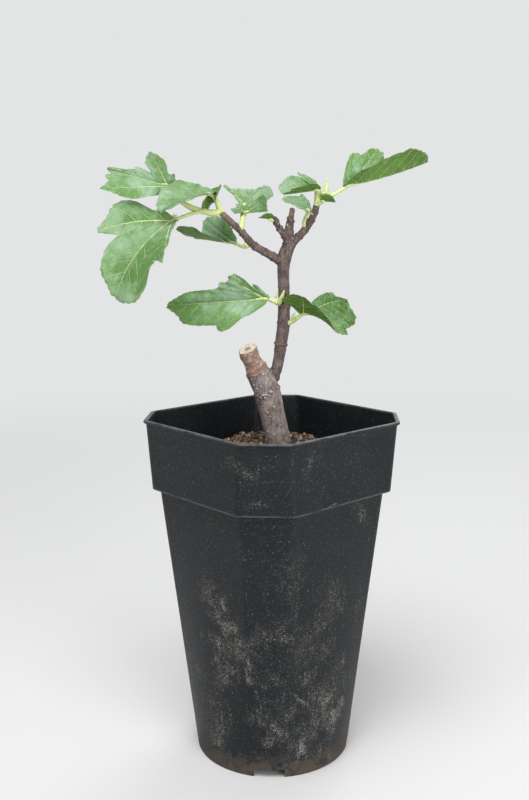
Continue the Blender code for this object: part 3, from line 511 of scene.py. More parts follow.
# Each colour of grain after the darkest, with the tones between which it takes over.
DARKEST_GRAIN, GRAIN_PORE_COLOUR = (0.026, 0.016, 0.012), (0.03, 0.02, 0.014)
GRAIN_COLOURS = (
    (0.33, 0.43, (0.070, 0.038, 0.022)),
    (0.62, 0.68, (0.20, 0.100, 0.045)),
    (0.84, 0.88, (0.30, 0.21, 0.13)),
    (0.955, 0.965, (0.60, 0.55, 0.47)),
)


def soil_height(x, y):
    """Flat round the trunk, then a smooth fall to the level at the wall."""
    away = np.hypot(x - MOUND_CENTRE[0], y - MOUND_CENTRE[1])
    share = np.clip((away - MOUND_FLAT) / (MOUND_REACH - MOUND_FLAT), 0, 1)
    return SOIL_TOP + (SOIL_EDGE - SOIL_TOP) * share**2 * (3 - 2 * share)


def grain_turns(random, count):
    """Turning matrices in random directions, each from a random unit quaternion."""
    w, x, y, z = random.normal(size=(4, count)) + TINY
    size = np.sqrt(w**2 + x**2 + y**2 + z**2)
    w, x, y, z = w / size, x / size, y / size, z / size
    first = [1 - 2 * (y * y + z * z), 2 * (x * y - z * w), 2 * (x * z + y * w)]
    second = [2 * (x * y + z * w), 1 - 2 * (x * x + z * z), 2 * (y * z - x * w)]
    third = [2 * (x * z - y * w), 2 * (y * z + x * w), 1 - 2 * (x * x + y * y)]
    return np.moveaxis(np.array([first, second, third]), -1, 0)


def unit_grain():
    """A coarse ball of radius 1: rings at even steps of latitude, closed at its two poles."""
    latitude = np.radians(np.linspace(-GRAIN_LATITUDE, GRAIN_LATITUDE, GRAIN_ROWS))[:, None]
    longitude = np.linspace(0, 2 * np.pi, GRAIN_COLUMNS, endpoint=False)[None, :]
    out, up = np.cos(latitude), np.sin(latitude) + 0 * longitude
    rings = np.stack([out * np.cos(longitude), out * np.sin(longitude), up], axis=-1)
    return closed_rings(rings, (0, 0, -1), (0, 0, 1))


def scattered_grains():
    """Small squashed balls on the mound, each turned, sized and toned at random."""
    random = np.random.default_rng(GRAIN_SEED)
    x, y = random.uniform(-COLLAR_FOOT_CORNER, COLLAR_FOOT_CORNER, (2, 3 * GRAIN_COUNT))
    wall = collar_wall(np.arctan2(y, x), np.full_like(x, SOIL_EDGE)) - POT_WALL - GRAIN_SIZE[1]
    inside = np.flatnonzero(np.hypot(x, y) < wall)[:GRAIN_COUNT]
    x, y = x[inside], y[inside]
    size = random.uniform(*GRAIN_SIZE, len(x)) * random.choice(GRAIN_SORTS, len(x))
    level = soil_height(x, y) + size * random.uniform(*GRAIN_LIFT, len(x))
    centres = np.stack([x, y, level], axis=1)[:, None, :]
    stretch = (random.uniform(*GRAIN_SQUASH, (len(x), 3)) * size[:, None])[:, None, :]
    unit, quads, triangles = unit_grain()
    bumpy = unit * random.uniform(*GRAIN_LUMPS, (len(x), len(unit), 1))
    turned = np.einsum("gij,gpj->gpi", grain_turns(random, len(x)), bumpy * stretch)
    points = (centres + turned).reshape(-1, 3)
    shift = (np.arange(len(x)) * len(unit))[:, None, None]
    tone = np.repeat(random.random(len(x)), len(unit))
    return points, (quads + shift).reshape(-1, 4), (triangles + shift).reshape(-1, 3), {"tone": tone}


def soil_finish(name, tone_of):
    """Dry grains with darker pores, each of one colour, from dark brown to a few whitish ones."""
    finish = Finish(name)
    place = finish.place()
    tone = tone_of(finish, place)
    colour = DARKEST_GRAIN
    for low, high, next_colour in GRAIN_COLOURS:
        colour = finish.mix(finish.rise(tone, low, high), colour, next_colour)
    pores = finish.noise(place, PORE_SCALE, 3, 0.6)
    finish.set("Base Color", finish.mix(finish.rise(pores, 0.6, 0.3) * 0.5, colour, GRAIN_PORE_COLOUR))
    finish.set("Roughness", 0.82 + 0.15 * pores)
    finish.bump(pores, 0.0002, 0.8)
    return finish


def grain_tone(finish, place):
    """The tone that each loose grain carries."""
    return finish.attribute("tone")


def cell_tone(finish, place):
    """The tone of each grain-sized cell of the packed soil."""
    return finish.part(finish.cells(place, CELL_SCALE, output="Color"), "X")


grains = mesh_piece("soil_grains", soil_finish("soil grain", grain_tone), *scattered_grains())
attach(grains, "root")

soil_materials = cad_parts["soil"].data.materials
soil_materials.clear()
soil_materials.append(soil_finish("soil bed", cell_tone).material)


# The wood. A hardwood cutting with a sawn top carries one younger shoot, which forks into two boughs
# and a short spur. The bark is thin, grey brown and smooth, with raised pores, leaf scars that ring
# it, and reddish young bark near the tips. Every limb is sunk into the one it grows from.

# Stations along each limb's middle: x, y, z and radius.
TRUNK = (
    (0.0066, 0.0005, 0.2190, 0.0084),
    (0.0052, 0.0000, 0.2260, 0.0083),
    (0.0009, -0.0010, 0.2447, 0.0086),
    (-0.0033, -0.0030, 0.2636, 0.0091),
    (-0.0086, -0.0050, 0.2755, 0.0083),
    (-0.0130, -0.0080, 0.2855, 0.0069),
    (-0.0161, -0.0115, 0.2943, 0.0062),
)
MAIN_STEM = (
    (-0.0027, 0.0000, 0.2686, 0.0042),
    (0.0024, 0.0015, 0.2763, 0.0038),
    (0.0050, 0.0025, 0.2861, 0.0038),
    (0.0063, 0.0025, 0.2959, 0.0042),
    (0.0082, 0.0010, 0.3100, 0.0043),
    (0.0086, 0.0000, 0.3300, 0.0039),
    (0.0082, 0.0000, 0.3470, 0.0041),
    (0.0093, 0.0000, 0.3570, 0.0047),
    (0.0120, 0.0000, 0.3650, 0.0042),
    (0.0120, 0.0000, 0.3740, 0.0032),
    (0.0134, 0.0000, 0.3830, 0.0021),
    (0.0142, 0.0000, 0.3880, 0.0014),
)
LEFT_BOUGH = (
    (0.0080, 0.0000, 0.3525, 0.0031),
    (0.0035, -0.0010, 0.3553, 0.0029),
    (-0.0049, -0.0030, 0.3601, 0.0027),
    (-0.0125, -0.0050, 0.3650, 0.0026),
    (-0.0200, -0.0060, 0.3735, 0.0023),
    (-0.0266, -0.0060, 0.3796, 0.0022),
    (-0.0330, -0.0052, 0.3856, 0.0020),
)
RIGHT_BOUGH = (
    (0.0130, 0.0000, 0.3650, 0.0028),
    (0.0165, 0.0020, 0.3681, 0.0027),
    (0.0217, 0.0050, 0.3731, 0.0026),
    (0.0260, 0.0070, 0.3792, 0.0025),
    (0.0294, 0.0080, 0.3862, 0.0024),
    (0.0306, 0.0080, 0.3905, 0.0022),
)
SHORT_SPUR = (
    (0.0115, -0.0015, 0.3665, 0.0024),
    (0.0085, -0.0040, 0.3718, 0.0023),
    (0.0048, -0.0060, 0.3772, 0.0020),
    (0.0028, -0.0070, 0.3818, 0.0020),
)
BARK_SPACING = 0.0004
TRUNK_COLUMNS = 112
DOME_TURNS = np.radians([30.0, 55.0, 75.0])
WRINKLE_TURNS, WRINKLE_SWAY, WRINKLE_DEPTH = range(2, 22, 2), (150, 700), 0.016
WRINKLE_BEND = 1.5
PORE_COLUMNS, PORE_WANDER, PORE_SHARE = 9, 0.14, 0.8
PORE_PLACES, PORE_HEIGHTS = (0.1, 0.9), (0.2, 1.0)
# Each set of pores: their spacing along the limb, their size and their height.
TRUNK_PORES, FINE_PORES = (0.0034, 0.00068, 0.00042), (0.0062, 0.00028, 0.00016)
TRUNK_FLARE, TRUNK_SEED, FIRST_SHOOT_SEED = (0.0006, 0.008), 3, 5
# The groove above a node ring, and the scar on it, as shares of the ring's width and height.
GROOVE_PLACE, GROOVE_DEPTH, GROOVE_WIDTH = 1.8, 0.4, 0.6
SCAR_PLACE, SCAR_WIDTH = 0.9, 0.8
PALE_KNOB_HEIGHT, PORE_PALENESS = 0.0012, 1.6
# Rings of the sawn top, as shares of its radius, from the rim in to the pith.
SAWN_RINGS = (0.985, 0.95, 0.80, 0.60, 0.40, 0.22, 0.12)

# Node rings of each limb: distance along, height, width and slant.
TRUNK_RINGS = (
    (0.0462, 0.0005, 0.0013, 0.0004),
    (0.0636, 0.0007, 0.0011, 0.0016),
    (0.0700, -0.0008, 0.0045, 0.0016),
)
STEM_RINGS = (
    (0.0080, 0.0007, 0.0016, -0.0008),
    (0.0255, 0.0003, 0.0008, 0.0006),
    (0.0297, 0.0007, 0.0009, 0.0002),
    (0.0440, 0.0003, 0.0010, -0.0004),
    (0.0570, 0.0005, 0.0011, -0.0005),
    (0.0700, 0.0002, 0.0008, 0.0004),
    (0.0992, 0.0006, 0.0009, 0.0002),
    (0.1080, 0.0003, 0.0009, 0.0004),
    (0.1160, 0.0007, 0.0010, -0.0004),
    (0.1225, 0.0005, 0.0013, 0.0),
)
BOUGH_RINGS = (
    (0.0085, 0.0004, 0.0008, 0.0003),
    (0.0150, 0.0003, 0.0007, -0.0003),
    (0.0225, 0.0005, 0.0009, 0.0003),
    (0.0290, 0.0003, 0.0007, -0.0003),
    (0.0350, 0.0005, 0.0008, 0.0002),
    (0.0420, 0.0004, 0.0007, 0.0),
)
SPUR_RINGS = (
    (0.0060, 0.0004, 0.0009, 0.0004),
    (0.0115, 0.0006, 0.0009, -0.0004),
    (0.0165, 0.0005, 0.0010, 0.0),
)
# Root buds on the trunk's node and leaf scars: distance along, angle round, height and size.
TRUNK_KNOBS = (
    (0.0464, 44, 0.0006, 0.0008),
    (0.0446, 60, 0.0010, 0.0009),
    (0.0462, 71, 0.0008, 0.0007),
    (0.0438, 79, 0.0010, 0.0009),
    (0.0462, 88, 0.0011, 0.0009),
    (0.0448, 99, 0.0009, 0.0008),
    (0.0470, 108, 0.0010, 0.0009),
    (0.0478, 126, 0.0006, 0.0007),
    (0.0452, 200, 0.0009, 0.0009),
    (0.0460, 260, 0.0009, 0.0009),
)
# Scars of buds and small broken twigs on the shoot, its spur and the boughs.
STEM_KNOBS = ((0.1120, 62, 0.0010, 0.0011), (0.1155, 98, 0.0009, 0.0009), (0.1030, 130, 0.0007, 0.0008))
SPUR_KNOBS = ((0.0105, 70, 0.0007, 0.0008), (0.0150, 110, 0.0007, 0.0008))
BOUGH_KNOBS = ((0.0150, 80, 0.0005, 0.0007), (0.0290, 100, 0.0005, 0.0007))

SCAR_COLOUR, PORE_COLOUR = (0.045, 0.030, 0.025), (0.52, 0.44, 0.37)
FLECK_COLOUR, CRACK_COLOUR = (0.42, 0.38, 0.35), (0.05, 0.036, 0.030)
PEEL_COLOUR = (0.60, 0.50, 0.43)
SAPWOOD_PALE, SAPWOOD_DARK = (0.62, 0.54, 0.44), (0.42, 0.33, 0.24)
WOOD_STAIN, PITH_COLOUR, RIM_COLOUR = (0.27, 0.21, 0.165), (0.17, 0.175, 0.145), (0.16, 0.10, 0.07)


def catmull_rom(before, start, end, after, steps):
    """Points from start toward end on the cubic whose slope at each is half its neighbours' span."""
    t = np.linspace(0, 1, steps, endpoint=False)[None, :, None]
    return (
        start
        + 0.5 * t * (end - before)
        + t**2 * (before - 2.5 * start + 2 * end - 0.5 * after)
        + t**3 * (1.5 * (start - end) + 0.5 * (after - before))
    )


def smooth_route(stations, spacing):
    """Points of a Catmull-Rom curve through rows of x, y, z and radius, at most spacing apart."""
    rows = np.array(stations, float)
    padded = np.vstack([2 * rows[0] - rows[1], rows, 2 * rows[-1] - rows[-2]])
    steps = int(np.ceil(np.linalg.norm(np.diff(rows[:, :3], axis=0), axis=1).max() / spacing))
    corners = [padded[i : len(padded) - 3 + i, None, :] for i in range(4)]
    return np.vstack([catmull_rom(*corners, steps).reshape(-1, 4), rows[-1]])


def limb_skin(stations, columns, spacing, relief=None):
    """Rings square to the route, out by the limb's radius and its relief.

    The last rings stand on a quarter circle round the tip, as a dome. relief gives a height for a
    distance along the limb and an angle round it. Returns the rings and the distance along of each.
    """
    route = smooth_route(stations, spacing)
    steps = np.linalg.norm(np.diff(route[:, :3], axis=0), axis=1)
    route = route[np.concatenate([[True], steps > TINY])]
    centres, radii = route[:, :3], route[:, 3]
    along = np.concatenate([[0.0], np.cumsum(np.linalg.norm(np.diff(centres, axis=0), axis=1))])
    tangents = np.gradient(centres, axis=0)
    tangents /= np.linalg.norm(tangents, axis=1)[:, None]
    dome_places = centres[-1] + radii[-1] * np.sin(DOME_TURNS)[:, None] * tangents[-1]
    centres = np.vstack([centres, dome_places])
    radii = np.concatenate([radii, radii[-1] * np.cos(DOME_TURNS)])
    along = np.concatenate([along, np.repeat(along[-1], len(DOME_TURNS))])
    tangents = np.vstack([tangents, np.repeat(tangents[-1:], len(DOME_TURNS), axis=0)])
    across = np.cross(tangents, (0, 1, 0))
    across /= np.linalg.norm(across, axis=1)[:, None]
    beside = np.cross(tangents, across)
    around = np.linspace(0, 2 * np.pi, columns, endpoint=False)[None, :]
    reach = radii[:, None] * np.ones_like(around)
    if relief is not None:
        reach = reach + relief(along[:, None], around)
    outward = np.cos(around)[..., None] * across[:, None, :]
    outward = outward + np.sin(around)[..., None] * beside[:, None, :]
    return centres[:, None, :] + reach[..., None] * outward, along


def angle_between(first, second):
    """The smaller of the two angles between two directions, in radians."""
    return np.abs((first - second + np.pi) % (2 * np.pi) - np.pi)


def swelling(along, place, height, width):
    """A smooth ridge round a limb: a bell curve of the distance from its place."""
    return height * np.exp(-(((along - place) / width) ** 2))


def round_bump(along, around, girth, place, turn, size):
    """A round bump of height 1: a bell curve of the distance from it, along and round the limb."""
    beside = girth * angle_between(around, turn)
    return np.exp(-(((along - place) / size) ** 2) - (beside / size) ** 2)


def pores(along, around, girth, seed, spacing, size):
    """Raised pores in rows along a limb: a round bump at each place, moved a little at random."""
    random = np.random.default_rng(seed)
    rows = int(along.max() / spacing)
    total = np.zeros(np.broadcast_shapes(along.shape, around.shape))
    for column in range(PORE_COLUMNS):
        places = (np.arange(rows) + random.uniform(*PORE_PLACES, rows)) * spacing
        turns = column * 2 * np.pi / PORE_COLUMNS + random.normal(0, PORE_WANDER, rows)
        heights = random.uniform(*PORE_HEIGHTS, rows) * (random.random(rows) < PORE_SHARE)
        for place, turn, height in zip(places, turns, heights):
            total += height * round_bump(along, around, girth, place, turn, size)
    return total


def knob_heights(along, around, girth, knobs):
    """The round bumps of rows of (distance along, angle round, height, size), added up."""
    total = np.zeros(np.broadcast_shapes(along.shape, around.shape))
    for place, turn, height, size in knobs:
        total += height * round_bump(along, around, girth, place, np.radians(turn), size)
    return total


def wrinkles(along, around, seed):
    """Fine grain of the bark: waves round the limb, of many lengths, that sway as they run along it."""
    random = np.random.default_rng(seed)
    total = 0.0
    for turns in WRINKLE_TURNS:
        sway = random.uniform(*WRINKLE_SWAY)
        phase = np.sin(sway * along + random.uniform(0, 6)) * WRINKLE_BEND
        total = total + np.cos(turns * around + phase) / turns
    return total


def ring_lean(around, width, slant, seed):
    """How far a node ring strays along the limb: a tilt, and a wave three times round it."""
    return slant * np.cos(around) + width * 0.5 * np.sin(3 * around + seed)


def bark_limb(stations, columns, rings, pore, flare, seed, knobs):
    """A limb with its leaf-scar rings, knobs, pores, wrinkles and a flare at its foot, ready to join.

    The relief is the sum of all of these. A ring is a swelling with a shallow groove above it, and
    the flare, of a height and a length, fades from the foot by an exponential. pale is 1 on pores
    and knobs, scar is 1 on rings, and along is the distance from the foot.
    """
    girth = max(station[3] for station in stations)
    spacing, size, pore_height = pore

    def relief(along, around):
        height = flare[0] * np.exp(-along / flare[1]) + knob_heights(along, around, girth, knobs)
        for place, rise, width, slant in rings:
            strayed = along + ring_lean(around, width, slant, seed)
            groove = place + GROOVE_PLACE * width
            height = height + swelling(strayed, place, rise, width)
            height = height - swelling(strayed, groove, rise * GROOVE_DEPTH, width * GROOVE_WIDTH)
        height = height + pore_height * pores(along, around, girth, seed, spacing, size)
        return height + girth * WRINKLE_DEPTH * wrinkles(along, around, seed)

    skin, distances = limb_skin(stations, columns, BARK_SPACING, relief)
    along = distances[:, None]
    around = np.linspace(0, 2 * np.pi, columns, endpoint=False)[None, :]
    pale = np.clip(pores(along, around, girth, seed, spacing, size) * PORE_PALENESS, 0, 1)
    pale = np.clip(pale + knob_heights(along, around, girth, knobs) / PALE_KNOB_HEIGHT, 0, 1)
    scars = np.zeros((len(distances), columns))
    for place, _, width, slant in [ring for ring in rings if ring[1] > 0]:
        strayed = along + ring_lean(around, width, slant, seed)
        scars += swelling(strayed, place + SCAR_PLACE * width, 1.0, width * SCAR_WIDTH)
    ends = np.zeros(2)
    values = {
        "pale": np.concatenate([pale.ravel(), ends]),
        "scar": np.concatenate([scars.ravel(), ends]),
        "along": np.concatenate([np.repeat(distances, columns), [0.0, distances[-1]]]),
    }
    return *closed_rings(skin, skin[0].mean(axis=0), skin[-1].mean(axis=0)), values


def make_trunk():
    """The cutting as one shell: its bark, then rings that draw in flat from the rim to the pith.

    cut is 1 on the sawn wood. radius falls there from 1 at the rim to 0 at the pith.
    """
    points, _, _, values = bark_limb(
        TRUNK, TRUNK_COLUMNS, TRUNK_RINGS, TRUNK_PORES, TRUNK_FLARE, TRUNK_SEED, TRUNK_KNOBS
    )
    rings = points[:-2].reshape(-1, TRUNK_COLUMNS, 3)[: -len(DOME_TURNS)]
    rim, foot = rings[-1], rings[0].mean(axis=0)
    pith = rim.mean(axis=0)
    top = pith + np.array(SAWN_RINGS)[:, None, None] * (rim - pith)
    bark, shares = len(rings) * TRUNK_COLUMNS, np.repeat(SAWN_RINGS, TRUNK_COLUMNS)
    values = {key: np.concatenate([value[:bark], 0 * shares, [0.0, 0.0]]) for key, value in values.items()}
    values["cut"] = np.concatenate([np.zeros(bark), np.ones_like(shares), [0.0, 1.0]])
    values["radius"] = np.concatenate([np.ones(bark), shares, [1.0, 0.0]])
    return *closed_rings(np.concatenate([rings, top]), foot, pith), values


def sawn_wood(finish, bark):
    """The bark's colour, and cream sapwood with a grey green pith and a dark rim where cut is 1."""
    place = finish.place()
    radius = finish.attribute("radius")
    grain = finish.noise(place, 700, 4, 0.7)
    stain = finish.noise(place, 260, 4, 0.7)
    pith = finish.rise(radius + (stain - 0.5) * 0.3, 0.42, 0.26)
    wood = finish.mix(finish.rise(grain, 0.4, 0.65), SAPWOOD_PALE, SAPWOOD_DARK)
    wood = finish.mix(finish.rise(stain, 0.50, 0.66) * 0.6, wood, WOOD_STAIN)
    wood = finish.mix(pith, wood, PITH_COLOUR)
    wood = finish.mix(finish.rise(radius, 0.90, 0.97) * 0.6, wood, RIM_COLOUR)
    return finish.mix(finish.attribute("cut"), bark, wood)


def bark_finish(name, deep, light, young, young_from, young_to, painted_over=None):
    """Grey brown bark, mottled along the limb, with pale pores, dark scars and younger bark above.

    young bark takes over between two distances along the limb. painted_over is a function that
    turns the bark's colour into the final one.
    """
    finish = Finish(name)
    place = finish.place()
    fibre = finish.noise(finish.stretched(place, (700, 700, 120)), 1.0, 6, 0.7)
    patch = finish.noise(place, 160, 5, 0.7)
    peel = finish.rise(finish.noise(place, 240, 5, 0.75), 0.50, 0.60)
    flecks = finish.rise(finish.noise(place, 1300, 3), 0.58, 0.70)
    cracks = finish.rise(finish.noise(finish.stretched(place, (1400, 1400, 260)), 1.0, 4), 0.42, 0.34)
    pale = finish.rise(finish.attribute("pale"), 0.20, 0.70)
    age = finish.rise(finish.attribute("along") + 0.004 * patch, young_from, young_to)
    colour = finish.mix(finish.rise(fibre * 0.5 + patch * 0.5, 0.40, 0.60), deep, light)
    colour = finish.mix(age * 0.9, colour, finish.mix(peel * 0.65, young, PEEL_COLOUR))
    colour = finish.mix(finish.attribute("scar") * 0.65, colour, SCAR_COLOUR)
    colour = finish.mix(pale * 0.75, colour, PORE_COLOUR)
    colour = finish.mix(flecks * 0.40, colour, FLECK_COLOUR)
    colour = finish.mix(cracks * 0.5, colour, CRACK_COLOUR)
    finish.set("Base Color", painted_over(finish, colour) if painted_over else colour)
    finish.set("Roughness", 0.58 + 0.25 * fibre)
    finish.bump(fibre + patch - cracks * 0.7 + pale, 0.00028, 0.9)
    return finish


old_bark = bark_finish(
    "old bark", (0.125, 0.094, 0.086), (0.310, 0.254, 0.238), (0.27, 0.145, 0.100), 0.0635, 0.0660,
    painted_over=sawn_wood,
)
shoot_bark = bark_finish(
    "shoot bark", (0.042, 0.025, 0.022), (0.155, 0.110, 0.100), (0.20, 0.12, 0.085), 0.119, 0.124
)
bough_bark = bark_finish(
    "bough bark", (0.045, 0.027, 0.022), (0.160, 0.104, 0.088), (0.12, 0.10, 0.045), 0.048, 0.060
)

trunk = mesh_piece("cutting", old_bark, *make_trunk())
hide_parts("trunk")
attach(trunk, "root")

# Each shoot's stations, columns, rings, flare, knobs and finish.
SHOOTS = {
    "main_stem": (MAIN_STEM, 80, STEM_RINGS, (0.0018, 0.005), STEM_KNOBS, shoot_bark),
    "left_bough": (LEFT_BOUGH, 64, BOUGH_RINGS, (0.0011, 0.004), BOUGH_KNOBS, bough_bark),
    "right_bough": (RIGHT_BOUGH, 64, BOUGH_RINGS[:5], (0.0008, 0.004), BOUGH_KNOBS, bough_bark),
    "short_spur": (SHORT_SPUR, 56, SPUR_RINGS, (0.0005, 0.003), SPUR_KNOBS, bough_bark),
}
for seed, (node, shoot_values) in enumerate(SHOOTS.items(), FIRST_SHOOT_SEED):
    stations, columns, rings, flare, knobs, finish = shoot_values
    limb = bark_limb(stations, columns, rings, FINE_PORES, flare, seed, knobs)
    shoot = mesh_piece(node + "_bark", finish, *limb)
    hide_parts(node)
    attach(shoot, "root")


# The leaves. Each blade is a thin closed sheet on a petiole: a grid of rings from the petiole out to
# a toothed edge, folded along its midrib, curled and drooping, with sunken veins and slight puffs
# between them. The upper face is grey green in patches of painted sheen and deep green in painted
# shade, and the lower one paler, though partly darkened as painted shade. Petioles are yellow green.
LEAF_THICKNESS = 0.0004
EDGE_THINNING = 0.6
NORMAL_REACH = 0.0012
LEAST_BEND = 0.01
OUTLINE_STEPS, BLADE_ROWS = 12, 30
# Lengths of a full-sized leaf, which the depth of its relief is for, and of one made with fewer rows.
FULL_LENGTH, SMALL_LENGTH = 0.065, 0.017
TOOTH_SPACING, TOOTH_HEIGHT, FEWEST_TEETH = 0.0047, 0.0011, 8
TOOTH_POWER, TOOTH_LEVEL, TOOTHLESS_REACH = 0.7, 0.75, 0.35
TOOTH_LEAST_SIZE, TOOTH_GROWTH_LENGTH = 0.35, 0.07
UNEVENNESS, UNEVEN_WAVES = 0.8, 7
VEINED_REACH, VEINED_FROM, VEINED_TO = 0.36, 18, 150
VEIN_HALF_WIDTH, VEIN_WIDENING, VEIN_TAPER, VEIN_END = 0.00018, 0.008, 0.85, 0.12
SIDE_VEIN_SHARE, SIDE_VEIN_SLOPE, SIDE_VEIN_BOW, SIDE_VEIN_SHIFT = 0.14, 0.8, 10, 0.4
SECTOR_RIM, FAR_FROM_RIB = 0.14, 6
PUFF_HEIGHT, PUFF_POWER, SUNK_DEPTH, SUNK_WIDTH = 0.00045, 0.7, 0.0005, 0.0016
# Waves round the margin: how many, how far the tone shifts them, and their share of the height.
WAVE_HEIGHT, MARGIN_WAVES = 0.0008, ((9, 9, 1.0), (17, 5, 0.6))
PATTERN_SHIFT = 0.05
PETIOLE_RADIUS, PETIOLE_COLUMNS, PETIOLE_SPACING = 0.0012, 20, 0.0006
SUNK_RADIUS, SUNK_SHARE = 0.0007, 0.10
STIPULE_BOW, STIPULE_MIDDLE, STIPULE_TIP = np.array([0.0, 0.0, 0.06]), 0.75, 0.15

# Upper faces from deep green to grey green leaves, each in its painted shade and under its painted
# sheen, and lower faces, darkened in part as painted shade.
UPPER_SHADE = ((0.026, 0.098, 0.006), (0.082, 0.205, 0.040))
UPPER_SHEEN = ((0.130, 0.250, 0.090), (0.250, 0.385, 0.270))
LOWER_FACE = ((0.042, 0.125, 0.006), (0.090, 0.205, 0.018))
BESIDE_VEIN, UPPER_NET, UPPER_VEIN = (0.050, 0.150, 0.015), (0.26, 0.41, 0.14), (0.50, 0.62, 0.29)
LOWER_NET, LOWER_VEIN, LEAF_RIM = (0.22, 0.38, 0.08), (0.48, 0.60, 0.24), (0.30, 0.37, 0.14)
DOWN_COLOUR = (0.85, 0.95, 0.85)
PETIOLE_DEEP, PETIOLE_PALE, PETIOLE_FOOT = (0.42, 0.52, 0.17), (0.58, 0.64, 0.30), (0.20, 0.19, 0.07)

# One leaf, as in the imported model: base is where the petiole meets the blade; heading, rise and roll
# turn it; the outline is a row of tips and notches, each as its angle from the midrib and its reach
# as a share of the length; fold and curl are (left, right). Angles are in degrees. tone is how pale
# the upper face is, from deep green at 0 to grey green at 1: partly the leaf's own green and partly
# painted sheen and shade, by how each leaf catches the light. stalk is the petiole's stations.
Leaf = namedtuple("Leaf", "base heading rise roll length outline fold curl droop tone stalk")
ROUND_OUTLINE = (
    (0, 1.00), (30, 0.85), (60, 0.62), (100, 0.42), (150, 0.20), (180, 0.14),
    (-150, 0.20), (-100, 0.42), (-60, 0.62), (-30, 0.85),
)
SLENDER_OUTLINE = (
    (0, 1.00), (10, 0.70), (28, 0.38), (80, 0.16), (180, 0.08), (-80, 0.16), (-28, 0.38), (-10, 0.70),
)
LEAF_FRONT_LEFT = Leaf(
    base=(-0.0662, -0.0120, 0.3808),
    heading=232, rise=-21, roll=-7, length=0.0689,
    outline=(
        (0, 1.04), (12, 1.10), (22, 1.09), (28, 0.94), (30, 0.74), (38, 0.84), (39, 0.64), (44, 0.35),
        (80, 0.11), (180, 0.05), (-110, 0.10), (-73, 0.24), (-66, 0.44), (-56, 0.57), (-45, 0.62),
        (-36, 0.72), (-27, 0.57), (-22, 0.72), (-14, 0.88), (-6, 0.96),
    ),
    fold=(10, 36), curl=(9, 19), droop=45, tone=0.55,
    stalk=(
        (-0.0400, -0.0068, 0.3862, 0.0015),
        (-0.0480, -0.0088, 0.3868, 0.0013),
        (-0.0565, -0.0105, 0.3845, 0.0012),
    ),
)
LEAF_BACK_LEFT = Leaf(
    base=(-0.0693, -0.0060, 0.4040),
    heading=200, rise=16, roll=-75, length=0.0436,
    outline=(
        (0, 0.97), (3, 0.90), (7, 0.98), (13, 0.93), (21, 1.06), (30, 0.84), (38, 0.68), (46, 0.46),
        (60, 0.22), (100, 0.09), (180, 0.06), (-128, 0.14), (-100, 0.21), (-76, 0.19), (-66, 0.39),
        (-47, 0.58), (-29, 0.49), (-22, 0.33), (-17, 0.54), (-9, 0.62), (-5, 0.74), (-3, 0.92),
    ),
    fold=(17, 20), curl=(5, 14), droop=8, tone=0.95,
    stalk=(
        (-0.0425, -0.0073, 0.3864, 0.0019),
        (-0.0520, -0.0072, 0.3890, 0.0021),
        (-0.0605, -0.0068, 0.3940, 0.0017),
    ),
)
LEAF_TIP_LEFT = Leaf(
    base=(-0.0419, -0.0040, 0.3987),
    heading=221, rise=-6, roll=-32, length=0.0391,
    outline=(
        (0, 0.97), (8, 0.87), (18, 0.74), (30, 0.62), (48, 0.46), (66, 0.34), (110, 0.18), (180, 0.12),
        (-110, 0.15), (-69, 0.22), (-53, 0.38), (-45, 0.56), (-35, 0.68), (-27, 0.83), (-17, 0.89),
        (-8, 0.98),
    ),
    fold=(38, 18), curl=(1, 10), droop=32, tone=0.70,
    stalk=(
        (-0.0358, -0.0042, 0.3915, 0.0016),
        (-0.0385, -0.0040, 0.3965, 0.0014),
    ),
)
LEAF_TIP_DARK = Leaf(
    base=(-0.0375, -0.0030, 0.3945),
    heading=75, rise=50, roll=-30, length=0.0130,
    outline=ROUND_OUTLINE,
    fold=(35, 35), curl=(10, 10), droop=10, tone=0.00,
    stalk=((-0.0360, -0.0040, 0.3925, 0.0012),),
)
LEAF_TIP_UNDER = Leaf(
    base=(-0.0395, 0.0020, 0.3955),
    heading=190, rise=-48, roll=30, length=0.0125,
    outline=ROUND_OUTLINE,
    fold=(15, 15), curl=(5, 5), droop=20, tone=0.60,
    stalk=(
        (-0.0361, -0.0036, 0.3930, 0.0012),
        (-0.0380, -0.0005, 0.3958, 0.0012),
    ),
)
LEAF_LOW_LEFT = Leaf(
    base=(-0.0259, 0.0040, 0.3657),
    heading=137, rise=5, roll=-51, length=0.0416,
    outline=(
        (0, 0.82), (9, 0.86), (18, 0.94), (27, 1.07), (34, 1.02), (46, 0.82), (60, 0.60), (74, 0.38),
        (104, 0.24), (180, 0.08), (-110, 0.10), (-66, 0.27), (-53, 0.42), (-43, 0.58), (-32, 0.75),
        (-21, 0.89), (-10, 0.86),
    ),
    fold=(46, 41), curl=(48, -33), droop=1, tone=1.00,
    stalk=(
        (-0.0135, -0.0050, 0.3655, 0.0014),
        (-0.0175, -0.0035, 0.3632, 0.0013),
        (-0.0215, 0.0005, 0.3640, 0.0012),
    ),
)
LEAF_UPRIGHT = Leaf(
    base=(-0.0188, 0.0040, 0.3913),
    heading=70, rise=20, roll=35, length=0.0307,
    outline=(
        (0, 0.92), (6, 0.74), (16, 0.62), (30, 0.56), (50, 0.50), (66, 0.54), (75, 0.69), (83, 0.48),
        (95, 0.24), (134, 0.14), (180, 0.12), (-130, 0.16), (-76, 0.34), (-62, 0.56), (-45, 0.72),
        (-27, 0.84), (-9, 0.99),
    ),
    fold=(14, 37), curl=(-17, 3), droop=-19, tone=0.90,
    stalk=(
        (-0.0196, -0.0045, 0.3800, 0.0013),
        (-0.0198, 0.0010, 0.3860, 0.0012),
    ),
)
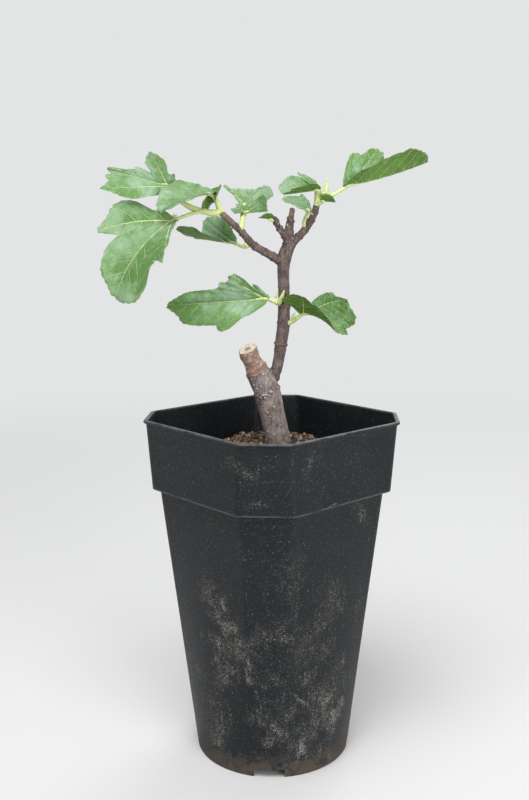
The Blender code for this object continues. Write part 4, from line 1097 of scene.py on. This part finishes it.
LEAF_UPRIGHT_FRONT = Leaf(
    base=(-0.0170, -0.0020, 0.3862),
    heading=350, rise=2, roll=89, length=0.0184,
    outline=(
        (0, 0.86), (8, 0.89), (20, 0.90), (32, 1.00), (43, 0.91), (50, 0.55), (58, 0.30), (80, 0.25),
        (109, 0.30), (136, 0.49), (150, 0.42), (164, 0.58), (180, 0.46), (-151, 0.40), (-110, 0.22),
        (-60, 0.24), (-29, 0.43), (-12, 0.72),
    ),
    fold=(-12, 85), curl=(21, 18), droop=-30, tone=0.45,
    stalk=(
        (-0.0205, -0.0060, 0.3745, 0.0021),
        (-0.0198, -0.0050, 0.3785, 0.0019),
        (-0.0190, -0.0035, 0.3830, 0.0015),
    ),
)
LEAF_SPUR = Leaf(
    base=(-0.0003, -0.0085, 0.3815),
    heading=215, rise=15, roll=20, length=0.0090,
    outline=ROUND_OUTLINE,
    fold=(25, 25), curl=(10, 10), droop=20, tone=0.20,
    stalk=((0.0030, -0.0069, 0.3805, 0.0013),),
)
LEAF_STEM_LEFT = Leaf(
    base=(-0.0042, -0.0060, 0.3283),
    heading=165, rise=-6, roll=-76, length=0.0653,
    outline=(
        (0, 1.09), (7, 0.98), (14, 0.92), (19, 0.77), (22, 0.67), (27, 0.60), (34, 0.59), (38, 0.48),
        (41, 0.30), (54, 0.15), (100, 0.06), (180, 0.05), (-100, 0.07), (-70, 0.18), (-61, 0.20),
        (-54, 0.19), (-53, 0.33), (-46, 0.42), (-38, 0.45), (-31, 0.44), (-24, 0.52), (-18, 0.53),
        (-12, 0.72), (-7, 0.92),
    ),
    fold=(13, 35), curl=(-7, -2), droop=-10, tone=0.95,
    stalk=(
        (0.0085, 0.0000, 0.3230, 0.0019),
        (0.0040, -0.0025, 0.3252, 0.0017),
        (-0.0005, -0.0048, 0.3272, 0.0013),
    ),
)
LEAF_STEM_RIGHT = Leaf(
    base=(0.0223, -0.0060, 0.3178),
    heading=328, rise=2, roll=-1, length=0.0337,
    outline=(
        (0, 0.86), (6, 0.94), (11, 1.01), (16, 0.93), (24, 0.99), (34, 0.99), (43, 0.88), (48, 0.89),
        (55, 0.73), (63, 0.68), (73, 0.46), (84, 0.28), (120, 0.13), (180, 0.10), (-140, 0.18),
        (-128, 0.40), (-113, 0.54), (-92, 0.60), (-74, 0.66), (-53, 0.47), (-28, 0.50), (-12, 0.66),
    ),
    fold=(29, 63), curl=(57, -33), droop=60, tone=0.12,
    stalk=(
        (0.0080, 0.0010, 0.3100, 0.0022),
        (0.0135, -0.0010, 0.3118, 0.0018),
        (0.0175, -0.0040, 0.3145, 0.0013),
    ),
)
LEAF_TIP_RIGHT = Leaf(
    base=(0.0524, 0.0120, 0.4041),
    heading=20, rise=10, roll=-21, length=0.0653,
    outline=(
        (0, 0.97), (5, 0.92), (10, 0.82), (15, 0.66), (19, 0.54), (27, 0.61), (34, 0.62), (40, 0.57),
        (47, 0.46), (57, 0.44), (66, 0.38), (76, 0.24), (110, 0.09), (180, 0.06), (-110, 0.07),
        (-62, 0.15), (-46, 0.29), (-32, 0.46), (-28, 0.58), (-25, 0.69), (-18, 0.81), (-11, 0.90),
        (-5, 0.96),
    ),
    fold=(80, 27), curl=(-2, 1), droop=-13, tone=1.00,
    stalk=(
        (0.0350, 0.0077, 0.3950, 0.0016),
        (0.0394, 0.0080, 0.3966, 0.0014),
        (0.0460, 0.0100, 0.4003, 0.0012),
    ),
)
LEAF_TIP_FOLDED = Leaf(
    base=(0.0310, 0.0040, 0.4011),
    heading=193, rise=-9, roll=-24, length=0.0245,
    outline=(
        (0, 0.98), (10, 0.80), (23, 0.60), (45, 0.42), (73, 0.31), (120, 0.16), (180, 0.10),
        (-120, 0.18), (-90, 0.27), (-68, 0.38), (-57, 0.60), (-43, 0.86), (-32, 0.96), (-16, 1.07),
    ),
    fold=(63, 11), curl=(5, 41), droop=-4, tone=0.92,
    stalk=((0.0310, 0.0080, 0.3985, 0.0013),),
)
LEAF_TIP_SLENDER = Leaf(
    base=(0.0300, 0.0080, 0.4040),
    heading=165, rise=32, roll=-50, length=0.0160,
    outline=SLENDER_OUTLINE,
    fold=(30, 30), curl=(10, 10), droop=-10, tone=0.85,
    stalk=((0.0308, 0.0080, 0.3975, 0.0014),),
)
LEAF_TIP_SMALL = Leaf(
    base=(0.0350, 0.0050, 0.3935),
    heading=-25, rise=2, roll=-35, length=0.0100,
    outline=ROUND_OUTLINE,
    fold=(30, 30), curl=(10, 10), droop=15, tone=0.10,
    stalk=((0.0340, 0.0075, 0.3945, 0.0013),),
)
LEAF_LOW_RIGHT = Leaf(
    base=(0.0253, -0.0040, 0.3874),
    heading=231, rise=18, roll=-90, length=0.0244,
    outline=(
        (0, 1.00), (7, 0.92), (16, 0.64), (30, 0.50), (46, 0.52), (62, 0.38), (100, 0.20), (180, 0.12),
        (-106, 0.15), (-60, 0.30), (-38, 0.56), (-28, 0.54), (-10, 0.85),
    ),
    fold=(55, 7), curl=(21, 1), droop=20, tone=0.80,
    stalk=(
        (0.0228, 0.0055, 0.3745, 0.0014),
        (0.0222, 0.0030, 0.3800, 0.0012),
        (0.0240, -0.0010, 0.3845, 0.0012),
    ),
)


def toothed_edge(leaf, steps):
    """The outline as a closed Catmull-Rom curve, with rounded teeth.

    Its reach grows and shrinks with a power of the sine of the edge run so far. The teeth are
    uneven in width, smaller on small leaves, and fade out near the petiole.
    """
    angle, reach = np.array(leaf.outline).T
    turned = np.radians(angle)
    knots = leaf.length * reach[:, None] * np.stack([np.cos(turned), np.sin(turned)], axis=1)
    before, start, end, after = [np.roll(knots, turn, axis=0)[:, None, :] for turn in (1, 0, -1, -2)]
    edge = catmull_rom(before, start, end, after, steps).reshape(-1, 2)
    run = np.concatenate([[0.0], np.cumsum(np.linalg.norm(np.diff(edge, axis=0), axis=1))])
    size = min(1.0, TOOTH_LEAST_SIZE + leaf.length / TOOTH_GROWTH_LENGTH)
    teeth = max(FEWEST_TEETH, round(run[-1] / (TOOTH_SPACING * size)))
    uneven = UNEVENNESS * np.sin(UNEVEN_WAVES * run / leaf.length)
    wave = np.abs(np.sin(np.pi * teeth * run / run[-1] + uneven)) ** TOOTH_POWER
    away = np.hypot(*edge.T)
    fade = np.clip(away / (TOOTHLESS_REACH * leaf.length), 0, 1)
    growth = TOOTH_HEIGHT * size * (wave - TOOTH_LEVEL) * fade
    return edge * (1 + growth / away)[:, None]


def main_veins(leaf):
    """Angles and lengths of the veins that run from the petiole: the midrib and one to each lobe."""
    angle, reach = np.array(leaf.outline).T
    lobes = (reach > np.roll(reach, 1)) & (reach > np.roll(reach, -1)) & (reach > VEINED_REACH)
    lobes &= (np.abs(angle) > VEINED_FROM) & (np.abs(angle) < VEINED_TO)
    angles = np.radians(np.concatenate([[0.0], angle[lobes]]))
    lengths = leaf.length * np.concatenate([[1.0], reach[lobes]])
    return angles, lengths


def vein_values(leaf, x, y):
    """How each point lies to the veins.

    aside is its distance from the nearest main vein, with a sign, and rib the same over that vein's
    half width there. phase grows by one from each side vein to the next. sector falls to 0 where
    two main veins are equally near.
    """
    angles, lengths = main_veins(leaf)
    turn = angles.reshape((-1,) + (1,) * x.ndim)
    apart = angle_between(np.arctan2(y, x), turn)
    nearest = np.argsort(apart, axis=0)[:1]
    along = np.take_along_axis(x * np.cos(turn) + y * np.sin(turn), nearest, axis=0)[0]
    aside = np.take_along_axis(y * np.cos(turn) - x * np.sin(turn), nearest, axis=0)[0]
    taper = np.clip(1 - VEIN_TAPER * along / lengths[nearest[0]], VEIN_END, 1)
    rib = np.abs(aside) / ((VEIN_HALF_WIDTH + VEIN_WIDENING * leaf.length) * taper)
    back = SIDE_VEIN_SLOPE * np.abs(aside) + SIDE_VEIN_BOW * aside**2
    phase = (along - back) / (SIDE_VEIN_SHARE * leaf.length) + SIDE_VEIN_SHIFT * (aside > 0)
    sector = np.ones_like(x)
    if len(angles) > 1:
        gaps = np.sort(apart, axis=0)
        sector = np.clip((gaps[1] - gaps[0]) / SECTOR_RIM, 0, 1)
    return rib, phase, sector, aside


def bent_blade(x, y, leaf):
    """Lays flat points of the blade in their true place.

    Each half turns up about the midrib by its fold and curls on with distance from it, the midrib
    droops along a circle, and the whole is turned to its heading, rise and roll. Both bends get a
    hundredth of a degree more, so that a straight one isn't divided by nothing.
    """
    left = y >= 0
    fold = np.radians(np.where(left, leaf.fold[0], leaf.fold[1]))
    curl = np.radians(np.where(left, leaf.curl[0], leaf.curl[1]) + LEAST_BEND) / (0.5 * leaf.length)
    away = np.abs(y)
    across = np.sign(y) * (np.sin(fold + curl * away) - np.sin(fold)) / curl
    above = (np.cos(fold) - np.cos(fold + curl * away)) / curl
    bend = np.radians(leaf.droop + LEAST_BEND) / leaf.length
    along = np.sin(bend * x) / bend + above * np.sin(bend * x)
    up = -(1 - np.cos(bend * x)) / bend + above * np.cos(bend * x)
    heading, rise, roll = np.radians([leaf.heading, leaf.rise, leaf.roll])
    forward = np.array([np.cos(rise) * np.cos(heading), np.cos(rise) * np.sin(heading), np.sin(rise)])
    level_left = np.array([-np.sin(heading), np.cos(heading), 0.0])
    level_up = np.cross(forward, level_left)
    leftward = np.cos(roll) * level_left + np.sin(roll) * level_up
    upward = np.cross(forward, leftward)
    place = along[..., None] * forward + across[..., None] * leftward + up[..., None] * upward
    return np.array(leaf.base) + place


def blade_normals(x, y, leaf):
    """Unit normals of the bent blade: across the steps a little ahead and a little to the left."""
    ahead = bent_blade(x + NORMAL_REACH, y, leaf) - bent_blade(x - NORMAL_REACH, y, leaf)
    leftward = bent_blade(x, y + NORMAL_REACH, leaf) - bent_blade(x, y - NORMAL_REACH, leaf)
    normal = np.cross(ahead, leftward)
    return normal / np.linalg.norm(normal, axis=-1, keepdims=True)


def blade_relief(leaf, shares, phase, sector, aside):
    """Height of the blade over its smooth shape, in proportion to the leaf.

    A power of the sine of phase puffs it up between the side veins, a bell curve of the distance
    aside sinks the main veins, and two waves, which the tone shifts, run round the margin.
    """
    size = leaf.length / FULL_LENGTH
    puff = PUFF_HEIGHT * size * np.abs(np.sin(np.pi * (phase + 0.5))) ** PUFF_POWER * sector
    groove = -SUNK_DEPTH * size * np.exp(-((aside / (SUNK_WIDTH * size)) ** 2))
    run = np.linspace(0, 2 * np.pi, phase.shape[1], endpoint=False)[None, :]
    waves = 0.0
    for count, shift, share in MARGIN_WAVES:
        waves = waves + share * np.sin(count * run + leaf.tone * shift)
    return puff * (1 - shares**6) + groove + WAVE_HEIGHT * size * shares**4 * waves


def fine_blade(leaf):
    """A blade ready to join: lower rings from the petiole out to the edge, and upper rings back.

    Each ring is the edge drawn in by its share, laid in place and moved along the normals by the
    relief and half the thickness. face is 0 below and 1 above, and flat is the place on the flat
    blade, moved aside for each tone.
    """
    small = leaf.length <= SMALL_LENGTH
    edge = toothed_edge(leaf, OUTLINE_STEPS // 2 if small else OUTLINE_STEPS)
    rows = BLADE_ROWS // 3 if small else BLADE_ROWS
    shares = np.linspace(0, 1, rows + 1)[1:, None]
    x, y = shares * edge[:, 0], shares * edge[:, 1]
    rib, phase, sector, aside = vein_values(leaf, x, y)
    height = blade_relief(leaf, shares, phase, sector, aside)
    middle, normal = bent_blade(x, y, leaf), blade_normals(x, y, leaf)
    half = LEAF_THICKNESS / 2 * (1 - EDGE_THINNING * shares**8)
    lower = middle + normal * (height - half)[..., None]
    upper = middle + normal * (height + half)[..., None]
    upright = normal[0].mean(axis=0)
    centre = np.array(midrib_point(leaf, 0.0)) + upright * height[0].mean()
    lift = upright * LEAF_THICKNESS / 2

    def both_faces(value):
        return np.concatenate([value.ravel(), value[::-1].ravel(), [0.0, 0.0]])

    face = np.concatenate([np.zeros(x.size), np.ones(x.size), [0.0, 1.0]])
    shift = np.full(len(face), PATTERN_SHIFT * leaf.tone)
    values = {
        "face": face,
        "rib": np.clip(both_faces(rib), 0, FAR_FROM_RIB),
        "phase": both_faces(phase),
        "sector": both_faces(sector),
        "edge": both_faces(shares + 0 * x),
        "flat": np.stack([both_faces(x), both_faces(y), shift], axis=1),
        "tone": np.full(len(face), leaf.tone),
    }
    return *closed_rings(np.concatenate([lower, upper[::-1]]), centre - lift, centre + lift), values


def green_limb(stations):
    """A petiole, bud or stipule ready to join. share is 0 at its foot and 1 at its tip."""
    skin, along = limb_skin(stations, PETIOLE_COLUMNS, PETIOLE_SPACING)
    share = np.concatenate([np.repeat(along / along[-1], PETIOLE_COLUMNS), [0.0, 1.0]])
    return *closed_rings(skin, skin[0].mean(axis=0), skin[-1].mean(axis=0)), {"share": share}


def joined(parts):
    """Several (points, quads, triangles, values) as one."""
    shifts = np.concatenate([[0], np.cumsum([len(part[0]) for part in parts])[:-1]])
    points = np.vstack([part[0] for part in parts])
    quads = np.vstack([part[1] + shift for part, shift in zip(parts, shifts)])
    triangles = np.vstack([part[2] + shift for part, shift in zip(parts, shifts)])
    values = {key: np.concatenate([part[3][key] for part in parts]) for key in parts[0][3]}
    return points, quads, triangles, values


def midrib_point(leaf, share):
    """A point on the midrib, as a share of the leaf's length."""
    return tuple(bent_blade(np.array([share * leaf.length]), np.zeros(1), leaf)[0])


def petiole(leaf):
    """Stations of a petiole: along the leaf's stalk and on along its midrib, sunk in the blade."""
    joint = (*midrib_point(leaf, 0.0), PETIOLE_RADIUS)
    sunk_end = (*midrib_point(leaf, SUNK_SHARE), SUNK_RADIUS)
    return [*leaf.stalk, joint, sunk_end]


def stipule(base, tip, thickness):
    """Stations of a slender pointed bud scale that bows a little as it rises."""
    base, tip = np.array(base), np.array(tip)
    middle = 0.5 * (base + tip) + STIPULE_BOW * np.linalg.norm(tip - base)
    return [(*base, thickness), (*middle, STIPULE_MIDDLE * thickness), (*tip, STIPULE_TIP * thickness)]


def upper_face(finish, tone, painted_sheen, fine, between, veins):
    """From deep green in painted shade to grey green under a painted sheen, by the sheen patches and by
    tone, with darker bands beside the veins and yellow green veins.
    """
    # Deep green as painted shade, grey green as painted sheen.
    colour = finish.mix(painted_sheen, finish.mix(tone, *UPPER_SHADE), finish.mix(tone, *UPPER_SHEEN))
    colour = finish.mix(between * 0.40, colour, BESIDE_VEIN)
    colour = finish.mix(fine * 1.1, colour, UPPER_NET)
    return finish.mix(veins, colour, UPPER_VEIN)


def lower_face(finish, painted_sheen, fine, veins):
    """Brighter and deeper green, partly the underside's own colour and partly painted shade, paler under
    the same painted sheen patches, with the same veins.
    """
    # The underside's greens, darkened in part as painted shade, paler under the painted sheen.
    colour = finish.mix(painted_sheen, *LOWER_FACE)
    colour = finish.mix(fine * 0.9, colour, LOWER_NET)
    return finish.mix(veins * 0.90, colour, LOWER_VEIN)


def leaf_finish():
    """A soft, slightly downy leaf: a net of fine veins, side veins and main veins over patches of painted
    sheen and painted shade.
    """
    finish = Finish("fig leaf", Sheen_Weight=0.06, Sheen_Roughness=0.4, Sheen_Tint=DOWN_COLOUR)
    flat = finish.attribute("flat", "Vector")
    face = finish.rise(finish.attribute("face"), 0.4, 0.6)
    main = finish.rise(finish.attribute("rib"), 1.15, 0.5)
    phase = finish.attribute("phase") + 0.10 * (finish.noise(flat, 120, 2) - 0.5)
    side_distance = abs(finish.math("FRACT", phase) - 0.5)
    sector = finish.attribute("sector")
    side = finish.rise(side_distance, 0.040 - 0.006 * face, 0.010) * sector
    between = finish.rise(side_distance, 0.12, 0.02) * sector
    net = finish.rise(finish.cells(flat, 640, "DISTANCE_TO_EDGE"), 0.09, 0.01)
    wide_net = finish.rise(finish.cells(flat, 260, "DISTANCE_TO_EDGE"), 0.045, 0.01)
    veins = finish.math("MAXIMUM", main, side * (1.0 - 0.15 * face))
    fine = net * 0.26 + wide_net * 0.45
    mottle = finish.noise(flat, 140, 5, 0.65)
    # Large soft patches of painted sheen, with painted shade between them.
    painted_sheen = finish.rise(mottle * 0.40 + finish.noise(flat, 24, 2) * 0.60, 0.42, 0.60)
    upper = upper_face(finish, finish.attribute("tone"), painted_sheen, fine, between, veins)
    colour = finish.mix(face, lower_face(finish, painted_sheen, fine, veins), upper)
    rim = finish.rise(finish.attribute("edge"), 0.975, 1.0)
    finish.set("Base Color", finish.mix(rim * 0.40, colour, LEAF_RIM))
    finish.set("Roughness", 0.40 + 0.14 * mottle + 0.12 * (1 - face))
    finish.bump((veins + fine * 0.6) * (1 - 2 * face) + mottle * 0.45, 0.00045, 0.9)
    return finish


def petiole_finish():
    """Yellow green skin, a little browner where it meets the wood."""
    finish = Finish("petiole")
    streak = finish.noise(finish.place(), 600, 3)
    foot = finish.rise(finish.attribute("share"), 0.18, 0.0)
    colour = finish.mix(finish.rise(streak, 0.35, 0.65), PETIOLE_DEEP, PETIOLE_PALE)
    finish.set("Base Color", finish.mix(foot * 0.45, colour, PETIOLE_FOOT))
    finish.set("Roughness", 0.45 + 0.15 * streak)
    finish.bump(streak, 0.00015, 0.5)
    return finish


# Stations of the green twigs that carry the leaves of a tip, and of the buds beside some petioles.
TWIGS = {
    "foliage_left_tip": (
        (
            (-0.0320, -0.0053, 0.3845, 0.0019),
            (-0.0350, -0.0047, 0.3890, 0.0019),
            (-0.0362, -0.0040, 0.3935, 0.0018),
        ),
        (
            (-0.0335, -0.0050, 0.3868, 0.0019),
            (-0.0390, -0.0065, 0.3860, 0.0023),
            (-0.0452, -0.0080, 0.3872, 0.0020),
        ),
    ),
    "foliage_right_tip": (
        (
            (0.0302, 0.0080, 0.3885, 0.0021),
            (0.0312, 0.0080, 0.3945, 0.0021),
            (0.0309, 0.0080, 0.4000, 0.0017),
        ),
        (
            (0.0308, 0.0080, 0.3915, 0.0020),
            (0.0345, 0.0077, 0.3950, 0.0026),
            (0.0368, 0.0075, 0.4000, 0.0020),
            (0.0376, 0.0072, 0.4085, 0.0005),
        ),
    ),
}
BUDS = {
    "foliage_left_low": (
        (
            (-0.0165, -0.0042, 0.3634, 0.0012),
            (-0.0172, -0.0052, 0.3655, 0.0013),
            (-0.0176, -0.0056, 0.3675, 0.0005),
        ),
    ),
    "foliage_stem_left": (
        (
            (0.0050, -0.0030, 0.3248, 0.0018),
            (0.0072, -0.0055, 0.3290, 0.0015),
            (0.0088, -0.0058, 0.3335, 0.0005),
        ),
    ),
    "foliage_stem_right": (
        (
            (0.0138, -0.0012, 0.3120, 0.0015),
            (0.0152, -0.0018, 0.3155, 0.0013),
            (0.0160, -0.0020, 0.3180, 0.0005),
        ),
    ),
}
# Stipules and small buds that stand at the nodes: base, tip and thickness at the base.
STIPULES = {
    "foliage_right_tip": (
        ((0.0344, 0.0080, 0.3940), (0.0333, 0.0050, 0.4036), 0.0010),
        ((0.0346, 0.0080, 0.3945), (0.0386, 0.0060, 0.4040), 0.0011),
        ((0.0350, 0.0080, 0.3950), (0.0406, 0.0090, 0.3990), 0.0009),
        ((0.0338, 0.0080, 0.3945), (0.0312, 0.0080, 0.4015), 0.0009),
        ((0.0348, 0.0090, 0.3945), (0.0372, 0.0135, 0.4020), 0.0010),
        ((0.0350, 0.0070, 0.3945), (0.0372, 0.0020, 0.3995), 0.0008),
    ),
    "foliage_left_tip": (
        ((-0.0650, -0.0100, 0.3826), (-0.0650, -0.0105, 0.3862), 0.0009),
        ((-0.0646, -0.0100, 0.3828), (-0.0628, -0.0110, 0.3852), 0.0008),
    ),
    "foliage_left_low": (((-0.0165, -0.0042, 0.3640), (-0.0146, -0.0050, 0.3672), 0.0008),),
    "foliage_stem_left": (((0.0030, -0.0040, 0.3290), (0.0046, -0.0050, 0.3335), 0.0010),),
}
# The leaves of each mass of foliage.
FOLIAGE = {
    "foliage_left_tip": (LEAF_FRONT_LEFT, LEAF_BACK_LEFT, LEAF_TIP_LEFT, LEAF_TIP_DARK, LEAF_TIP_UNDER),
    "foliage_left_low": (LEAF_LOW_LEFT,),
    "foliage_left_crown": (LEAF_UPRIGHT_FRONT, LEAF_UPRIGHT),
    "foliage_spur": (LEAF_SPUR,),
    "foliage_stem_left": (LEAF_STEM_LEFT,),
    "foliage_stem_right": (LEAF_STEM_RIGHT,),
    "foliage_right_tip": (LEAF_TIP_RIGHT, LEAF_TIP_FOLDED, LEAF_TIP_SLENDER, LEAF_TIP_SMALL),
    "foliage_right_low": (LEAF_LOW_RIGHT,),
}

blade_green = leaf_finish()
petiole_green = petiole_finish()
for node, leaves in FOLIAGE.items():
    petioles = [petiole(leaf) for leaf in leaves]
    stipules = [stipule(*values) for values in STIPULES.get(node, ())]
    limbs = [*TWIGS.get(node, ()), *petioles, *BUDS.get(node, ()), *stipules]
    stalks = joined([green_limb(stations) for stations in limbs])
    blades = joined([fine_blade(leaf) for leaf in leaves])
    stalk_piece = mesh_piece(node + "_stalks", petiole_green, *stalks)
    blade_piece = mesh_piece(node + "_blades", blade_green, *blades)
    for piece in (stalk_piece, blade_piece):
        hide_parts(node)
        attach(piece, "root")
